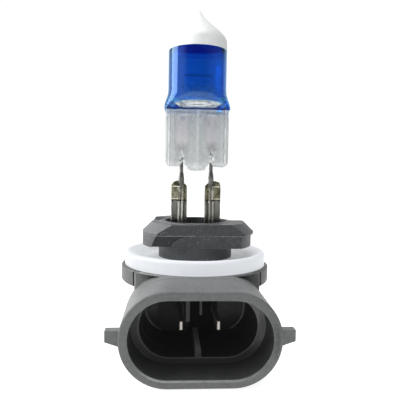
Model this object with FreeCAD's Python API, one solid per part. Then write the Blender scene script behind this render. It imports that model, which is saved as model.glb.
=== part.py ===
import FreeCAD, Part
import math
import os

os.makedirs("parts", exist_ok=True)
V = FreeCAD.Vector

# Halogen headlight bulb with a right-angle two-blade plug socket. Units: mm.
# Origin: lamp axis, on the underside of the locking lugs. +Z runs to the bulb tip,
# -Y runs out of the plug socket, +X is to the right seen from the socket side.

# ---- quartz bulb -----------------------------------------------------------
BULB_R = 5.22            # outside radius over the coatings
COAT_T = 0.07            # coating thickness
TIP_Z = 41.83            # top of the bulb
CAP_Z = 34.6             # white cap starts here, blue filter ends here
FILTER_Z0 = 24.05        # lower edge of the blue filter
CYL_Z0 = 27.7            # the round tube turns into the press seal from here down
DOME = [(0.0, 41.83), (0.36, 41.66), (0.68, 41.2), (1.2, 40.52), (1.9, 39.83), (2.65, 39.13),
        (3.4, 38.5), (4.1, 37.86), (4.65, 37.3), (5.0, 36.8), (5.17, 36.25), (5.22, 35.4)]
CAVITY_R = 4.2
CAVITY_Z0 = 25.1         # floor of the gas space
CAVITY_DOME = [(0.0, 39.2), (1.0, 38.8), (2.1, 37.95), (3.1, 36.9), (3.85, 35.8), (4.2, 34.4)]
# transition to the press seal: outside radius, and half depth left between the press jaws
FLARE_R = [(5.22, 27.7), (5.3, 26.9), (5.55, 26.1), (5.88, 25.2), (5.94, 24.5), (5.75, 23.8), (5.45, 23.2)]
FLARE_Y = [(5.7, 26.7), (5.35, 26.0), (4.75, 25.25), (3.85, 24.65), (2.75, 24.15), (1.9, 23.7), (1.2, 23.2)]
SEAL_HW = 5.8            # half width of the press seal
SEAL_WEB_T = 2.7         # thickness of the seal between its edge rails
SEAL_RAIL_T = 3.7
SEAL_RAIL_W = 1.05
SEAL_Z0 = 13.85          # foot of the seal
SEAL_Z1 = 23.85          # the rails run out into the flare of the bulb
TONGUE_HW, TONGUE_Z0 = 1.75, 13.25

# ---- filament, foils, leads ------------------------------------------------
FIL_Z = 30.4
FIL_HALF = 2.35          # half length of the wound part
FIL_R = 0.30             # mean radius of the winding
FIL_WIRE_R = 0.075
FIL_PITCH = 0.2765
LEG_X = 2.7
LEG_R = 0.2
LEG_Z0 = 22.4
FOIL_W, FOIL_T = 2.0, 0.06
FOIL_Z0, FOIL_Z1 = 16.9, 23.1
LEAD_R = 0.33
LEAD_Z0, LEAD_Z1 = 8.0, 17.6
SLEEVE_R, SLEEVE_Z1 = 0.47, 12.6

# ---- terminals -------------------------------------------------------------
POST_X = 3.05            # distance of each terminal from the lamp axis
POST_W, POST_T = 2.9, 1.1
POST_Z1, POST_Z0 = 11.4, -4.0
WING_T, WING_Z0, WING_Z1 = 0.34, 7.9, 10.45
BLADE_T, BLADE_H = 0.6, 1.5
BLADE_Z = -11.0          # mid height of the blades in the socket
BLADE_TIP_Y = -13.9
BLADE_X = {"left": -2.75, "right": 3.15}
SHANK_TOP_Z = -1.2

# ---- plastic base ----------------------------------------------------------
BARREL_R = 6.65
BORE_R = 5.58
RIM_Z = 4.2
LUG_TOP_Z, PART_Z = 4.1, 2.1
LUG_R_RIGHT, LUG_R_LEFT, LUG_R_REAR = 10.6, 9.6, 10.3
LUG_FRONT_Y, LUG_BACK_Y = -6.74, 1.5
RECESS = [(-8.05, -0.5), (-7.0, 1.98), (-1.95, 1.98), (-3.27, 1.56), (-3.94, 1.05), (-4.35, 0.1), (-4.4, -0.5)]
FLANGE_R, FLANGE_Z0, FLANGE_Z1 = 13.3, -6.3, -3.5
BLOCK_HW, BLOCK_FRONT_Y, BLOCK_Z0 = 10.45, -9.2, -17.2
PLATE_T = 0.25           # the flange is only a thin plate where it stands out over the block
MOUTH_Y = -20.4
SOCKET_Z = -11.1        # centre height of the plug socket
HORN_W, HORN_H = 23.9, 14.3
HORN_RISE = 0.42         # how much the top of the horn climbs from the mouth to the flange
TAB_D = 1.6              # depth of the two side catches at the mouth
MOUTH_W, MOUTH_H = 21.2, 11.6
STEP_Y = -13.9           # end of the wide first stage
INNER_W, INNER_H = 18.7, 9.9
RIB_TOP_Z = -14.9
BACK_WALL_Y = -3.0
POT_Z0, POT_Z1 = -4.5, 1.2

# ---- silicone seal ---------------------------------------------------------
RING_R = 12.7
RING_WEB_Z = -2.25
RING_CREST_R, RING_CREST_Z = 12.1, -1.12


def cyl(r, z0, z1, x=0.0, y=0.0):
    return Part.makeCylinder(r, z1 - z0, V(x, y, z0))


def box(x0, x1, y0, y1, z0, z1):
    return Part.makeBox(x1 - x0, y1 - y0, z1 - z0, V(x0, y0, z0))


def revolve(edges):
    face = Part.Face(Part.Wire(Part.__sortEdges__(edges)))
    return face.revolve(V(0, 0, 0), V(0, 0, 1), 360)


def line(a, b):
    return Part.LineSegment(V(a[0], 0, a[1]), V(b[0], 0, b[1])).toShape()


def spline(pts, t0=None, t1=None):
    s = Part.BSplineCurve()
    p = [V(a, 0, b) for a, b in pts]
    if t0:
        s.interpolate(Points=p, InitialTangent=V(t0[0], 0, t0[1]), FinalTangent=V(t1[0], 0, t1[1]))
    else:
        s.interpolate(p)
    return s.toShape()


def shrink_profile(pts, d):
    """The dome profile drawn in by d at the wall and at the tip, so that the two never cross."""
    kr = 1 - d / BULB_R
    kz = 1 - d / (TIP_Z - CYL_Z0)
    return [(r * kr, CYL_Z0 + (z - CYL_Z0) * kz) for r, z in pts]


def in_bands(pts, per=3):
    """Points along a smooth curve through pts."""
    out = []
    for i in range(len(pts) - 1):
        p0, p1, p2, p3 = pts[max(i - 1, 0)], pts[i], pts[i + 1], pts[min(i + 2, len(pts) - 1)]
        for k in range(per):
            t = k / per
            out.append(tuple(0.5 * (2 * b + (c - a) * t + (2 * a - 5 * b + 4 * c - d) * t * t
                             + (3 * b - a - 3 * c + d) * t ** 3) for a, b, c, d in zip(p0, p1, p2, p3)))
    return out + [pts[-1]]


def dome_solid(pts, z_low):
    """Round bar of the bulb from z_low up to the tip."""
    top = spline(pts, (1.0, -0.1), (0.0, -1.0))
    r, z = pts[-1]
    return revolve([top, line((r, z), (r, z_low)), line((r, z_low), (0, z_low)), line((0, z_low), pts[0])])


def flare_solid(inset):
    """Round flare pinched between two curved press jaws."""
    r = [(a - inset, z) for a, z in FLARE_R]
    y = [(a - inset, z) for a, z in FLARE_Y]
    body = revolve([line((0, r[0][1]), r[0]), spline(r, (0.0, -1.0), (-0.6, -1.0)),
                    line(r[-1], (0, r[-1][1])), line((0, r[-1][1]), (0, r[0][1]))])
    yz = lambda pts: [V(-9, a, z) for a, z in pts]
    left, right = Part.BSplineCurve(), Part.BSplineCurve()
    left.interpolate(yz([(-a, z) for a, z in y]))
    right.interpolate(yz(y))
    p = [V(-9, -y[-1][0], y[-1][1]), V(-9, y[-1][0], y[-1][1]), V(-9, y[0][0], y[0][1]),
         V(-9, y[0][0], 29.0), V(-9, -y[0][0], 29.0), V(-9, -y[0][0], y[0][1])]
    wire = Part.Wire(Part.__sortEdges__([
        left.toShape(), right.toShape(), Part.LineSegment(p[0], p[1]).toShape(),
        Part.LineSegment(p[2], p[3]).toShape(), Part.LineSegment(p[3], p[4]).toShape(),
        Part.LineSegment(p[4], p[5]).toShape()]))
    return body.common(Part.Face(wire).extrude(V(18, 0, 0)))


def stadium_wire(w, h, y, zc=SOCKET_Z):
    r = h / 2
    c = w / 2 - r
    a, b, d, e = V(-c, y, zc - r), V(c, y, zc - r), V(c, y, zc + r), V(-c, y, zc + r)
    return Part.Wire([
        Part.LineSegment(a, b).toShape(),
        Part.Arc(b, V(c + r, y, zc), d).toShape(),
        Part.LineSegment(d, e).toShape(),
        Part.Arc(e, V(-c - r, y, zc), a).toShape()])


def stadium(w, h, y0, y1, zc=SOCKET_Z):
    """Slot-shaped bar along Y, w wide and h high."""
    return Part.Face(stadium_wire(w, h, y0, zc)).extrude(V(0, y1 - y0, 0))


def prism(points, direction):
    return Part.Face(Part.makePolygon([V(*p) for p in points] + [V(*points[0])])).extrude(V(*direction))


def clean(shape):
    """Merge split faces where that gives a valid shape."""
    try:
        out = shape.removeSplitter()
        return out if not out.isNull() and out.isValid() and out.Solids else shape
    except Exception:
        return shape


def fuse(first, *rest):
    return clean(first.fuse(list(rest)))


def fillet(shape, radius, pick):
    """Round the edges chosen by pick, or leave the shape as it is where that can't be built."""
    edges = [e for e in shape.Edges if pick(e)]
    if not edges:
        return shape
    out = shape.makeFillet(radius, edges)
    return out if out.isValid() and len(out.Solids) == 1 else shape


def one(shape):
    if len(shape.Solids) != 1:
        raise ValueError("expected one solid, got %d" % len(shape.Solids))
    return shape.Solids[0]


# ============================ quartz bulb ====================================
glass_pts = shrink_profile(DOME, COAT_T)
glass_dome = dome_solid(glass_pts, CYL_Z0)
outer_flare = flare_solid(0.0)
glass_flare = flare_solid(COAT_T)

# press seal: thin web with a thick rounded rail along each edge, feet and a middle tongue
web = box(-SEAL_HW + 0.4, SEAL_HW - 0.4, -SEAL_WEB_T / 2, SEAL_WEB_T / 2, SEAL_Z0, SEAL_Z1)
seal = [web]
for side in (-1, 1):
    x0 = side * (SEAL_HW - SEAL_RAIL_W / 2 - COAT_T) - SEAL_RAIL_W / 2
    rail = box(x0, x0 + SEAL_RAIL_W, -SEAL_RAIL_T / 2, SEAL_RAIL_T / 2, SEAL_Z0, SEAL_Z1)
    rail = fillet(rail, 0.42, lambda e: abs(e.BoundBox.ZLength) > 5)
    seal.append(rail)
    # rounded bead where the press jaws end at the foot
    bead = Part.makeSphere(0.95, V(side * (SEAL_HW - 0.95), 0, SEAL_Z0 + 0.95))
    seal.append(bead)
tongue = box(-TONGUE_HW, TONGUE_HW, -SEAL_WEB_T / 2 + 0.25, SEAL_WEB_T / 2 - 0.25, TONGUE_Z0, SEAL_Z0 + 0.5)
tongue = fillet(tongue, 0.45, lambda e: e.BoundBox.ZMax < TONGUE_Z0 + 0.01)
ridge = box(-0.3, 0.3, -SEAL_WEB_T / 2 - 0.14, SEAL_WEB_T / 2 + 0.14, SEAL_Z0 + 0.6, SEAL_Z1 + 0.1)
seal += [tongue, ridge]

cavity = revolve([
    spline(CAVITY_DOME, (1.0, -0.15), (0.0, -1.0)),
    line((CAVITY_R, CAVITY_DOME[-1][1]), (CAVITY_R, 27.2)),
    spline([(CAVITY_R, 27.2), (4.32, 26.5), (4.22, 25.85), (3.6, CAVITY_Z0)]),
    line((3.6, CAVITY_Z0), (0, CAVITY_Z0)),
    line((0, CAVITY_Z0), CAVITY_DOME[0])])

quartz = glass_dome.fuse([glass_flare] + seal).cut(cavity)

# the cap follows the dome in short cone bands
ri = glass_pts[-1][0]
cap_pts = in_bands(DOME) + [(BULB_R, CAP_Z), (ri, CAP_Z)] + in_bands(glass_pts)[::-1]
white_cap = revolve([line(a, b) for a, b in zip(cap_pts, cap_pts[1:] + cap_pts[:1])])
blue_tube = cyl(BULB_R, CYL_Z0, CAP_Z).cut(cyl(BULB_R - COAT_T, CYL_Z0, CAP_Z))
blue_skirt = outer_flare.cut(glass_flare).common(cyl(9, FILTER_Z0, CYL_Z0))
blue_filter = fuse(blue_tube, blue_skirt)

# ============================ filament and leads =============================
# the winding as one closed ribbed tube along X, one rib for each turn
turns = int(round(2 * FIL_HALF / FIL_PITCH))
xs = [-FIL_HALF + k * 2 * FIL_HALF / turns for k in range(turns + 1)]
edges = []
for k in range(turns):
    mid = (xs[k] + xs[k + 1]) / 2
    edges.append(Part.Arc(V(xs[k], 0, FIL_R), V(mid, 0, FIL_R + FIL_WIRE_R), V(xs[k + 1], 0, FIL_R)).toShape())
r_in = FIL_R - FIL_WIRE_R
edges += [line((FIL_HALF, FIL_R), (FIL_HALF, r_in)), line((FIL_HALF, r_in), (-FIL_HALF, r_in)),
          line((-FIL_HALF, r_in), (-FIL_HALF, FIL_R))]
coil = Part.Face(Part.Wire(Part.__sortEdges__(edges))).revolve(V(0, 0, 0), V(1, 0, 0), 360)
coil.translate(V(0, 0, FIL_Z))
# straight tails from the last turns to the two legs
tails = None
for side in (-1, 1):
    x0 = side * (FIL_HALF - 0.06)
    x1 = side * (LEG_X - LEG_R)
    tail = Part.makeCylinder(FIL_WIRE_R, abs(x1 - x0), V(x0, 0, FIL_Z - FIL_R + 0.02), V(side, 0, 0))
    tails = tail if tails is None else tails.fuse(tail)
filament = coil.fuse(tails)

legs, foils, leads, sleeves = {}, {}, {}, {}
for name, side in (("left", -1), ("right", 1)):
    x = side * LEG_X
    leg = cyl(LEG_R, LEG_Z0, FIL_Z + 0.25, x)
    legs[name] = fillet(leg, 0.1, lambda e: e.BoundBox.ZMin > FIL_Z).cut(filament)
    foil = box(x - FOIL_W / 2, x + FOIL_W / 2, -FOIL_T / 2, FOIL_T / 2, FOIL_Z0, FOIL_Z1)
    leads[name] = cyl(LEAD_R, LEAD_Z0, LEAD_Z1, x)
    foils[name] = foil.cut(legs[name]).cut(leads[name])
    sleeves[name] = cyl(SLEEVE_R, LEAD_Z0 + 2.4, SLEEVE_Z1, x).cut(leads[name])

for d in (legs, foils, leads):
    for s in d.values():
        quartz = quartz.cut(s)
# small flared mouths where the leads leave the seal
for side in (-1, 1):
    cone = Part.makeCone(0.55, LEAD_R + 0.02, 2.2, V(side * LEG_X, 0, SEAL_Z0), V(0, 0, 1))
    quartz = quartz.cut(cone)

# ============================ terminals ======================================
posts, blades = {}, {}
for name, side in (("left", -1), ("right", 1)):
    x = side * POST_X
    w = POST_W / 2
    # strip outline in X-Z: sloping inner shoulder at the top, narrower root in the base
    outer = side * w
    pts = [(x - w, 0.4), (x - w, 10.45), (x - w * 0.45, POST_Z1), (x + w * 0.45, POST_Z1), (x + w, 10.45),
           (x + w, 0.4), (x + 0.9, -0.4), (x + 0.9, POST_Z0), (x - 0.9, POST_Z0), (x - 0.9, -0.4)]
    if side < 0:
        pts[1], pts[2] = (x - w, 11.0), (x - w * 0.75, POST_Z1)
    else:
        pts[3], pts[4] = (x + w * 0.75, POST_Z1), (x + w, 11.0)
    post = prism([(p[0], -POST_T / 2, p[1]) for p in pts], (0, POST_T, 0))
    post = fillet(post, 0.4, lambda e: e.BoundBox.ZLength > 9 and e.BoundBox.XLength < 0.01
                  and e.BoundBox.YLength < 0.01)
    # two shallow pressed flutes down the front and the back of the strip
    for dx in (-0.42, 0.42):
        for sy in (-1, 1):
            groove = cyl(0.16, 0.6, 7.6, x + dx, sy * (POST_T / 2 + 0.06))
            post = post.cut(groove)
    # folded crimp wing over the outer half
    xa, xb = sorted((x + outer - side * 0.06, x - side * 0.28))
    wing = box(xa, xb, -POST_T / 2 - WING_T, -POST_T / 2, WING_Z0, WING_Z1)
    wing = fillet(wing, 0.13, lambda e: e.BoundBox.YMax < -POST_T / 2 - WING_T + 0.01)
    post = fuse(post, wing)
    post = post.cut(leads[name]).cut(cyl(SLEEVE_R, LEAD_Z0 + 2.4, SLEEVE_Z1, side * LEG_X))
    posts[name] = post
    # L-shaped connector blade on edge: welded to the back of the strip, then out through the socket
    yb, t, x = POST_T / 2, BLADE_T / 2, BLADE_X[name]
    z0, z1 = BLADE_Z - BLADE_H / 2, BLADE_Z + BLADE_H / 2
    blade = prism([(x - t, yb, SHANK_TOP_Z), (x - t, yb, z1), (x - t, BLADE_TIP_Y, z1),
                   (x - t, BLADE_TIP_Y, z0), (x - t, yb + BLADE_H, z0), (x - t, yb + BLADE_H, SHANK_TOP_Z)],
                  (BLADE_T, 0, 0))
    tip = [e for e in blade.Edges if e.BoundBox.YMax < BLADE_TIP_Y + 0.01]
    blades[name] = blade.makeChamfer(0.12, tip)

# ============================ plastic base ===================================
barrel = cyl(BARREL_R, FLANGE_Z1 - 0.5, RIM_Z)
barrel = fillet(barrel, 0.38, lambda e: e.BoundBox.ZMin > RIM_Z - 0.01 and e.Closed)


def lug_plate(r, top, bevel_r):
    """Round plate with a cone-bevelled top edge, cut flat at the front and at the back."""
    low = cyl(r, PART_Z, PART_Z + 0.35)
    cone = Part.makeCone(r, bevel_r, top - PART_Z - 0.35, V(0, 0, PART_Z + 0.35))
    return low.fuse(cone)


window = box(0, 20, LUG_FRONT_Y, LUG_BACK_Y, -5, 10)
right_up = lug_plate(LUG_R_RIGHT, LUG_TOP_Z, 8.9).common(window)
right_low = cyl(LUG_R_RIGHT - 0.42, 0, PART_Z).common(window)
left_window = box(-20, 0, LUG_FRONT_Y, LUG_BACK_Y, -5, 10)
left_up = lug_plate(LUG_R_LEFT, LUG_TOP_Z - 0.1, 7.95).common(left_window)
left_low = cyl(LUG_R_LEFT, 0, PART_Z).common(left_window)
# swept pocket under the left lug plate, open to the front and below
front_low = box(-5.2, 0, LUG_FRONT_Y, 0, 0, PART_Z)
pocket = prism([(RECESS[0][0], -7.5, RECESS[0][1])] + [(x, -7.5, z) for x, z in RECESS[1:]], (0, 2.5, 0))
front_low = front_low.cut(pocket)
left_low = left_low.cut(pocket)
rear = lug_plate(LUG_R_REAR, RIM_Z + 0.12, 8.9).fuse(cyl(LUG_R_REAR, 0, PART_Z))
a0, a1 = math.radians(116), math.radians(146)
rear = rear.common(prism([(0, 0, -1), (16 * math.cos(a0), 16 * math.sin(a0), -1),
                          (16 * math.cos(a1), 16 * math.sin(a1), -1)], (0, 0, 8)))

flange = cyl(FLANGE_R, FLANGE_Z0, FLANGE_Z1)
flange = fillet(flange, 0.35, lambda e: e.Closed and abs(e.BoundBox.XLength - 2 * FLANGE_R) < 0.01)

over = box(-BLOCK_HW, BLOCK_HW, -FLANGE_R - 1, BLOCK_FRONT_Y, FLANGE_Z0 - 1, FLANGE_Z1 - PLATE_T)
flange = flange.cut(over)
# narrow joint lines between the round skirts and the block
flange = flange.cut(box(-BLOCK_HW - 0.25, -BLOCK_HW, -9.5, -7.4, FLANGE_Z0 - 1, FLANGE_Z1 - PLATE_T))
flange = flange.cut(box(BLOCK_HW, BLOCK_HW + 0.45, -9.5, -7.4, FLANGE_Z0 - 1, FLANGE_Z1 - PLATE_T))

# elbow block: full width behind the socket, rounded away at the lower back
block = prism([(-BLOCK_HW, BLOCK_FRONT_Y, FLANGE_Z0 + 2.6), (-BLOCK_HW, BLOCK_FRONT_Y, BLOCK_Z0),
               (-BLOCK_HW, 1.5, BLOCK_Z0), (-BLOCK_HW, 6.6, -11.6), (-BLOCK_HW, 6.6, FLANGE_Z0 + 0.4),
               (-BLOCK_HW, -4.0, FLANGE_Z0 + 0.4), (-BLOCK_HW, -4.0, FLANGE_Z0 + 2.6)], (2 * BLOCK_HW, 0, 0))
block = fillet(block, 1.0, lambda e: (e.BoundBox.XLength < 0.01 and e.BoundBox.YMax > 1.6
                                     and e.BoundBox.YMin > 1.4) and e.Length > 3)
block = fillet(block, 0.35, lambda e: e.BoundBox.XLength < 0.01 and e.BoundBox.YMax < BLOCK_FRONT_Y + 0.01)

horn = stadium(HORN_W, HORN_H, MOUTH_Y, -8.0)
horn = fillet(horn, 0.3, lambda e: e.BoundBox.YMax < MOUTH_Y + 0.01)

# the top of the horn rises gently towards the flange plate, which rests on it in the middle
rise = Part.makeLoft([stadium_wire(HORN_W - 0.3, HORN_H, MOUTH_Y + 0.8),
                      stadium_wire(HORN_W - 0.3, HORN_H + 2 * HORN_RISE, -FLANGE_R)], True, True)
rise = rise.fuse(stadium(HORN_W - 0.3, HORN_H + 2 * HORN_RISE, -FLANGE_R, -8.0))
rise = rise.common(box(-20, 20, -20, -7, SOCKET_Z + 1.0, 0))

tabs = None
for side in (-1, 1):
    xi, xo = side * 11.2, side * (HORN_W / 2 + 1.9)
    tab = prism([(xi, -19.9, -9.75), (xo, -19.9, -9.75), (xo, -19.9, -11.4), (xi, -19.9, -12.3)], (0, TAB_D, 0))
    ramp = prism([(xo + side, -18.9, -8), (xo + side, -17.9, -8), (xo - side * 0.9, -17.9, -8)], (0, 0, -6))
    tab = tab.cut(ramp)
    tabs = tab if tabs is None else tabs.fuse(tab)

base = barrel
for piece in (right_up, right_low, left_up, left_low, front_low, rear, flange, block, horn, rise, tabs):
    base = base.fuse(piece)
base = base.cut(cyl(BORE_R, POT_Z0, RIM_Z + 1))
base = base.cut(stadium(MOUTH_W, MOUTH_H, MOUTH_Y - 1, STEP_Y))
base = base.cut(stadium(INNER_W, INNER_H, STEP_Y - 0.5, BACK_WALL_Y))

# guide rib on the socket floor and two keying ribs under its ceiling
rib_floor = box(-0.47, 0.47, STEP_Y, BACK_WALL_Y + 0.4, SOCKET_Z - INNER_H / 2 - 0.4, RIB_TOP_Z)
rib_left = box(-2.0, -1.4, STEP_Y + 0.4, BACK_WALL_Y + 0.4, -10.5, SOCKET_Z + INNER_H / 2 + 0.4)
rib_mid = box(0.15, 0.5, STEP_Y + 0.4, BACK_WALL_Y + 0.4, -9.4, SOCKET_Z + INNER_H / 2 + 0.4)
base = base.fuse([rib_floor, rib_left, rib_mid])

for d in (posts, blades):
    for s in d.values():
        base = base.cut(s)

# ============================ sealing compound and ring ======================
compound = cyl(BORE_R, POT_Z0, POT_Z1)
for d in (posts, blades):
    for s in d.values():
        compound = compound.cut(s)

ring = revolve([
    line((BARREL_R, FLANGE_Z1), (RING_R, FLANGE_Z1)),
    line((RING_R, FLANGE_Z1), (RING_R, -1.8)),
    spline([(RING_R, -1.8), (12.62, -1.4), (12.42, -1.18), (RING_CREST_R, RING_CREST_Z), (11.6, -1.28),
            (11.1, -1.55), (10.5, -1.85), (9.9, -2.1), (9.2, RING_WEB_Z)]),
    line((9.2, RING_WEB_Z), (BARREL_R, RING_WEB_Z)),
    line((BARREL_R, RING_WEB_Z), (BARREL_R, FLANGE_Z1))])

parts = {
    "quartz_envelope": quartz,
    "blue_filter_coating": blue_filter,
    "tip_cap_coating": white_cap,
    "filament_coil": filament,
    "base_housing": base,
    "sealing_compound": compound,
    "seal_ring": ring,
}
for name in ("left", "right"):
    parts["filament_leg_" + name] = legs[name]
    parts["molybdenum_foil_" + name] = foils[name]
    parts["outer_lead_" + name] = leads[name]
    parts["lead_sleeve_" + name] = sleeves[name]
    parts["terminal_post_" + name] = posts[name]
    parts["connector_blade_" + name] = blades[name]

for name, shape in parts.items():
    solids = shape.Solids
    b = shape.BoundBox
    print("%-24s solids %d valid %s vol %9.4f  x %.2f %.2f y %.2f %.2f z %.2f %.2f" % (
        name, len(solids), shape.isValid(), shape.Volume, b.XMin, b.XMax, b.YMin, b.YMax, b.ZMin, b.ZMax))
    out = solids[0] if len(solids) == 1 else Part.makeCompound(solids)
    out.exportStep("parts/%s.step" % name)
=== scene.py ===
import math
import bpy
import bmesh
from mathutils import Matrix, Vector


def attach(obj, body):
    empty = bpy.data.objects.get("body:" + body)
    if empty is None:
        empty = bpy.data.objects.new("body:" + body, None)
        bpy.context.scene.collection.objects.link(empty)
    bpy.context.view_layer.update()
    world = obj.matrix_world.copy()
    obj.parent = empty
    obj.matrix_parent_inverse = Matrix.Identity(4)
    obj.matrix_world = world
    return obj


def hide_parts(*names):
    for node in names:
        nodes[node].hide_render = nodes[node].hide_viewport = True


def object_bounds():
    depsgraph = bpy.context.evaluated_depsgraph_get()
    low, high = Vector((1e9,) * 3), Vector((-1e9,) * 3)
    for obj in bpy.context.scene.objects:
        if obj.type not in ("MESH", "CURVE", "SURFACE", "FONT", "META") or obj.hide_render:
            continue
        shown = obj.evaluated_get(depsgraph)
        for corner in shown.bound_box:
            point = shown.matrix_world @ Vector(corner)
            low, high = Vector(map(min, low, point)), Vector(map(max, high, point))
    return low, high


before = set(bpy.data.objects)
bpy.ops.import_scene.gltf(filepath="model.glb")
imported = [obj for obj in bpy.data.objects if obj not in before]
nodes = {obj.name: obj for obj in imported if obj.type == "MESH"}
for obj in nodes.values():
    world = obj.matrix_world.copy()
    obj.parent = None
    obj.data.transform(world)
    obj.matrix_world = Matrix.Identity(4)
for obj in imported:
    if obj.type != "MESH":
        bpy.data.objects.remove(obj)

cad_lo, cad_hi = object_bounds()
scene = bpy.context.scene
MM = 0.001


# ------------------------------------------------------------------ helpers
def V(x, y, z):
    return Vector((x * MM, y * MM, z * MM))


def link(obj):
    scene.collection.objects.link(obj)
    return obj


def smooth(obj, angle=35.0):
    for p in obj.data.polygons:
        p.use_smooth = True
    m = obj.data
    bm = bmesh.new()
    bm.from_mesh(m)
    limit = math.radians(angle)
    for e in bm.edges:
        if len(e.link_faces) == 2:
            e.smooth = e.calc_face_angle(0.0) < limit
        else:
            e.smooth = False
    bm.to_mesh(m)
    bm.free()


def mesh_obj(name, verts, faces, angle=35.0):
    m = bpy.data.meshes.new(name)
    m.from_pydata([tuple(v) for v in verts], [], faces)
    m.validate()
    m.update()
    o = link(bpy.data.objects.new(name, m))
    smooth(o, angle)
    return o


def bm_obj(name, bm, angle=35.0):
    bmesh.ops.recalc_face_normals(bm, faces=bm.faces)
    m = bpy.data.meshes.new(name)
    bm.to_mesh(m)
    bm.free()
    o = link(bpy.data.objects.new(name, m))
    smooth(o, angle)
    return o


def lathe(name, profile, segments=128, closed=False, angle=35.0):
    """profile: (r, z) in mm. A point with r 0 becomes one vertex. closed joins the last point to the first."""
    verts, rows = [], []
    for r, z in profile:
        if r < 1e-6:
            rows.append([len(verts)] * segments)
            verts.append(V(0, 0, z))
        else:
            row = []
            for k in range(segments):
                t = 2 * math.pi * k / segments
                row.append(len(verts))
                verts.append(V(r * math.cos(t), r * math.sin(t), z))
            rows.append(row)
    faces = []
    pairs = list(zip(rows, rows[1:]))
    if closed:
        pairs.append((rows[-1], rows[0]))
    for a, b in pairs:
        for k in range(segments):
            j = (k + 1) % segments
            f = [a[k], a[j], b[j], b[k]]
            g = []
            for i in f:
                if i not in g:
                    g.append(i)
            if len(g) >= 3:
                faces.append(g)
    o = mesh_obj(name, verts, faces, angle)
    bm = bmesh.new()
    bm.from_mesh(o.data)
    bmesh.ops.recalc_face_normals(bm, faces=bm.faces)
    bm.to_mesh(o.data)
    bm.free()
    return o


def spline_points(pts, per=6):
    """Catmull-Rom through pts."""
    out = []
    n = len(pts)
    for i in range(n - 1):
        p0, p1, p2, p3 = pts[max(i - 1, 0)], pts[i], pts[i + 1], pts[min(i + 2, n - 1)]
        for k in range(per):
            t = k / per
            out.append(tuple(0.5 * ((2 * p1[d]) + (-p0[d] + p2[d]) * t + (2 * p0[d] - 5 * p1[d] + 4 * p2[d] - p3[d]) * t * t
                             + (-p0[d] + 3 * p1[d] - 3 * p2[d] + p3[d]) * t ** 3) for d in range(len(p1))))
    out.append(tuple(pts[-1]))
    return out


def lerp(a, b, t):
    return a + (b - a) * t


def ease(t):
    t = max(0.0, min(1.0, t))
    return t * t * (3 - 2 * t)


def table_at(rows, z):
    """Value at z from rows (value, z) listed with z going down."""
    if z >= rows[0][1]:
        return rows[0][0]
    for (a, za), (b, zb) in zip(rows, rows[1:]):
        if z >= zb:
            return lerp(a, b, ease((za - z) / (za - zb)) * 0.3 + 0.7 * (za - z) / (za - zb))
    return rows[-1][0]


# ---------------------------------------------------------------- materials
class Mat:
    """A small helper round one node material."""

    def __init__(self, name):
        self.m = bpy.data.materials.new(name)
        self.m.use_nodes = True
        self.t = self.m.node_tree
        self.b = self.t.nodes["Principled BSDF"]
        self.out = self.t.nodes["Material Output"]
        self.tc = self.t.nodes.new("ShaderNodeTexCoord")

    def node(self, kind, **kw):
        n = self.t.nodes.new(kind)
        for k, v in kw.items():
            if k in n.inputs:
                n.inputs[k].default_value = v
            else:
                setattr(n, k, v)
        return n

    def link(self, a, b):
        self.t.links.new(a, b)

    def noise(self, scale, detail=4.0, rough=0.55, stretch=None, w=None):
        n = self.node("ShaderNodeTexNoise")
        n.inputs["Scale"].default_value = scale
        n.inputs["Detail"].default_value = detail
        n.inputs["Roughness"].default_value = rough
        if stretch:
            mp = self.node("ShaderNodeMapping")
            mp.inputs["Scale"].default_value = stretch
            self.link(self.tc.outputs["Object"], mp.inputs["Vector"])
            self.link(mp.outputs["Vector"], n.inputs["Vector"])
        else:
            self.link(self.tc.outputs["Object"], n.inputs["Vector"])
        return n.outputs["Fac"]

    def ramp(self, fac, stops):
        r = self.node("ShaderNodeValToRGB")
        e = r.color_ramp.elements
        while len(e) < len(stops):
            e.new(0.5)
        for i, (p, c) in enumerate(stops):
            e[i].position = p
            e[i].color = (*c, 1.0) if len(c) == 3 else c
        self.link(fac, r.inputs["Fac"])
        return r.outputs["Color"]

    def range(self, fac, a, b, c, d):
        n = self.node("ShaderNodeMapRange")
        for i, v in enumerate((a, b, c, d)):
            n.inputs[i + 1].default_value = v
        self.link(fac, n.inputs[0])
        return n.outputs[0]

    def math(self, op, a, b=None):
        n = self.node("ShaderNodeMath", operation=op)
        for i, v in enumerate((a, b)):
            if v is None:
                continue
            if isinstance(v, (int, float)):
                n.inputs[i].default_value = v
            else:
                self.link(v, n.inputs[i])
        return n.outputs[0]

    def mix(self, fac, a, b):
        n = self.node("ShaderNodeMix", data_type="RGBA")
        for sock, v in ((n.inputs[0], fac), (n.inputs[6], a), (n.inputs[7], b)):
            if isinstance(v, tuple):
                sock.default_value = (*v, 1.0) if len(v) == 3 else v
            elif isinstance(v, (int, float)):
                sock.default_value = v
            else:
                self.link(v, sock)
        return n.outputs[2]

    def bump(self, height, strength, distance, normal=None):
        n = self.node("ShaderNodeBump")
        n.inputs["Strength"].default_value = strength
        n.inputs["Distance"].default_value = distance
        self.link(height, n.inputs["Height"])
        if normal is not None:
            self.link(normal, n.inputs["Normal"])
        return n.outputs["Normal"]

    def xyz(self):
        s = self.node("ShaderNodeSeparateXYZ")
        self.link(self.tc.outputs["Object"], s.inputs[0])
        return s.outputs


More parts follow.
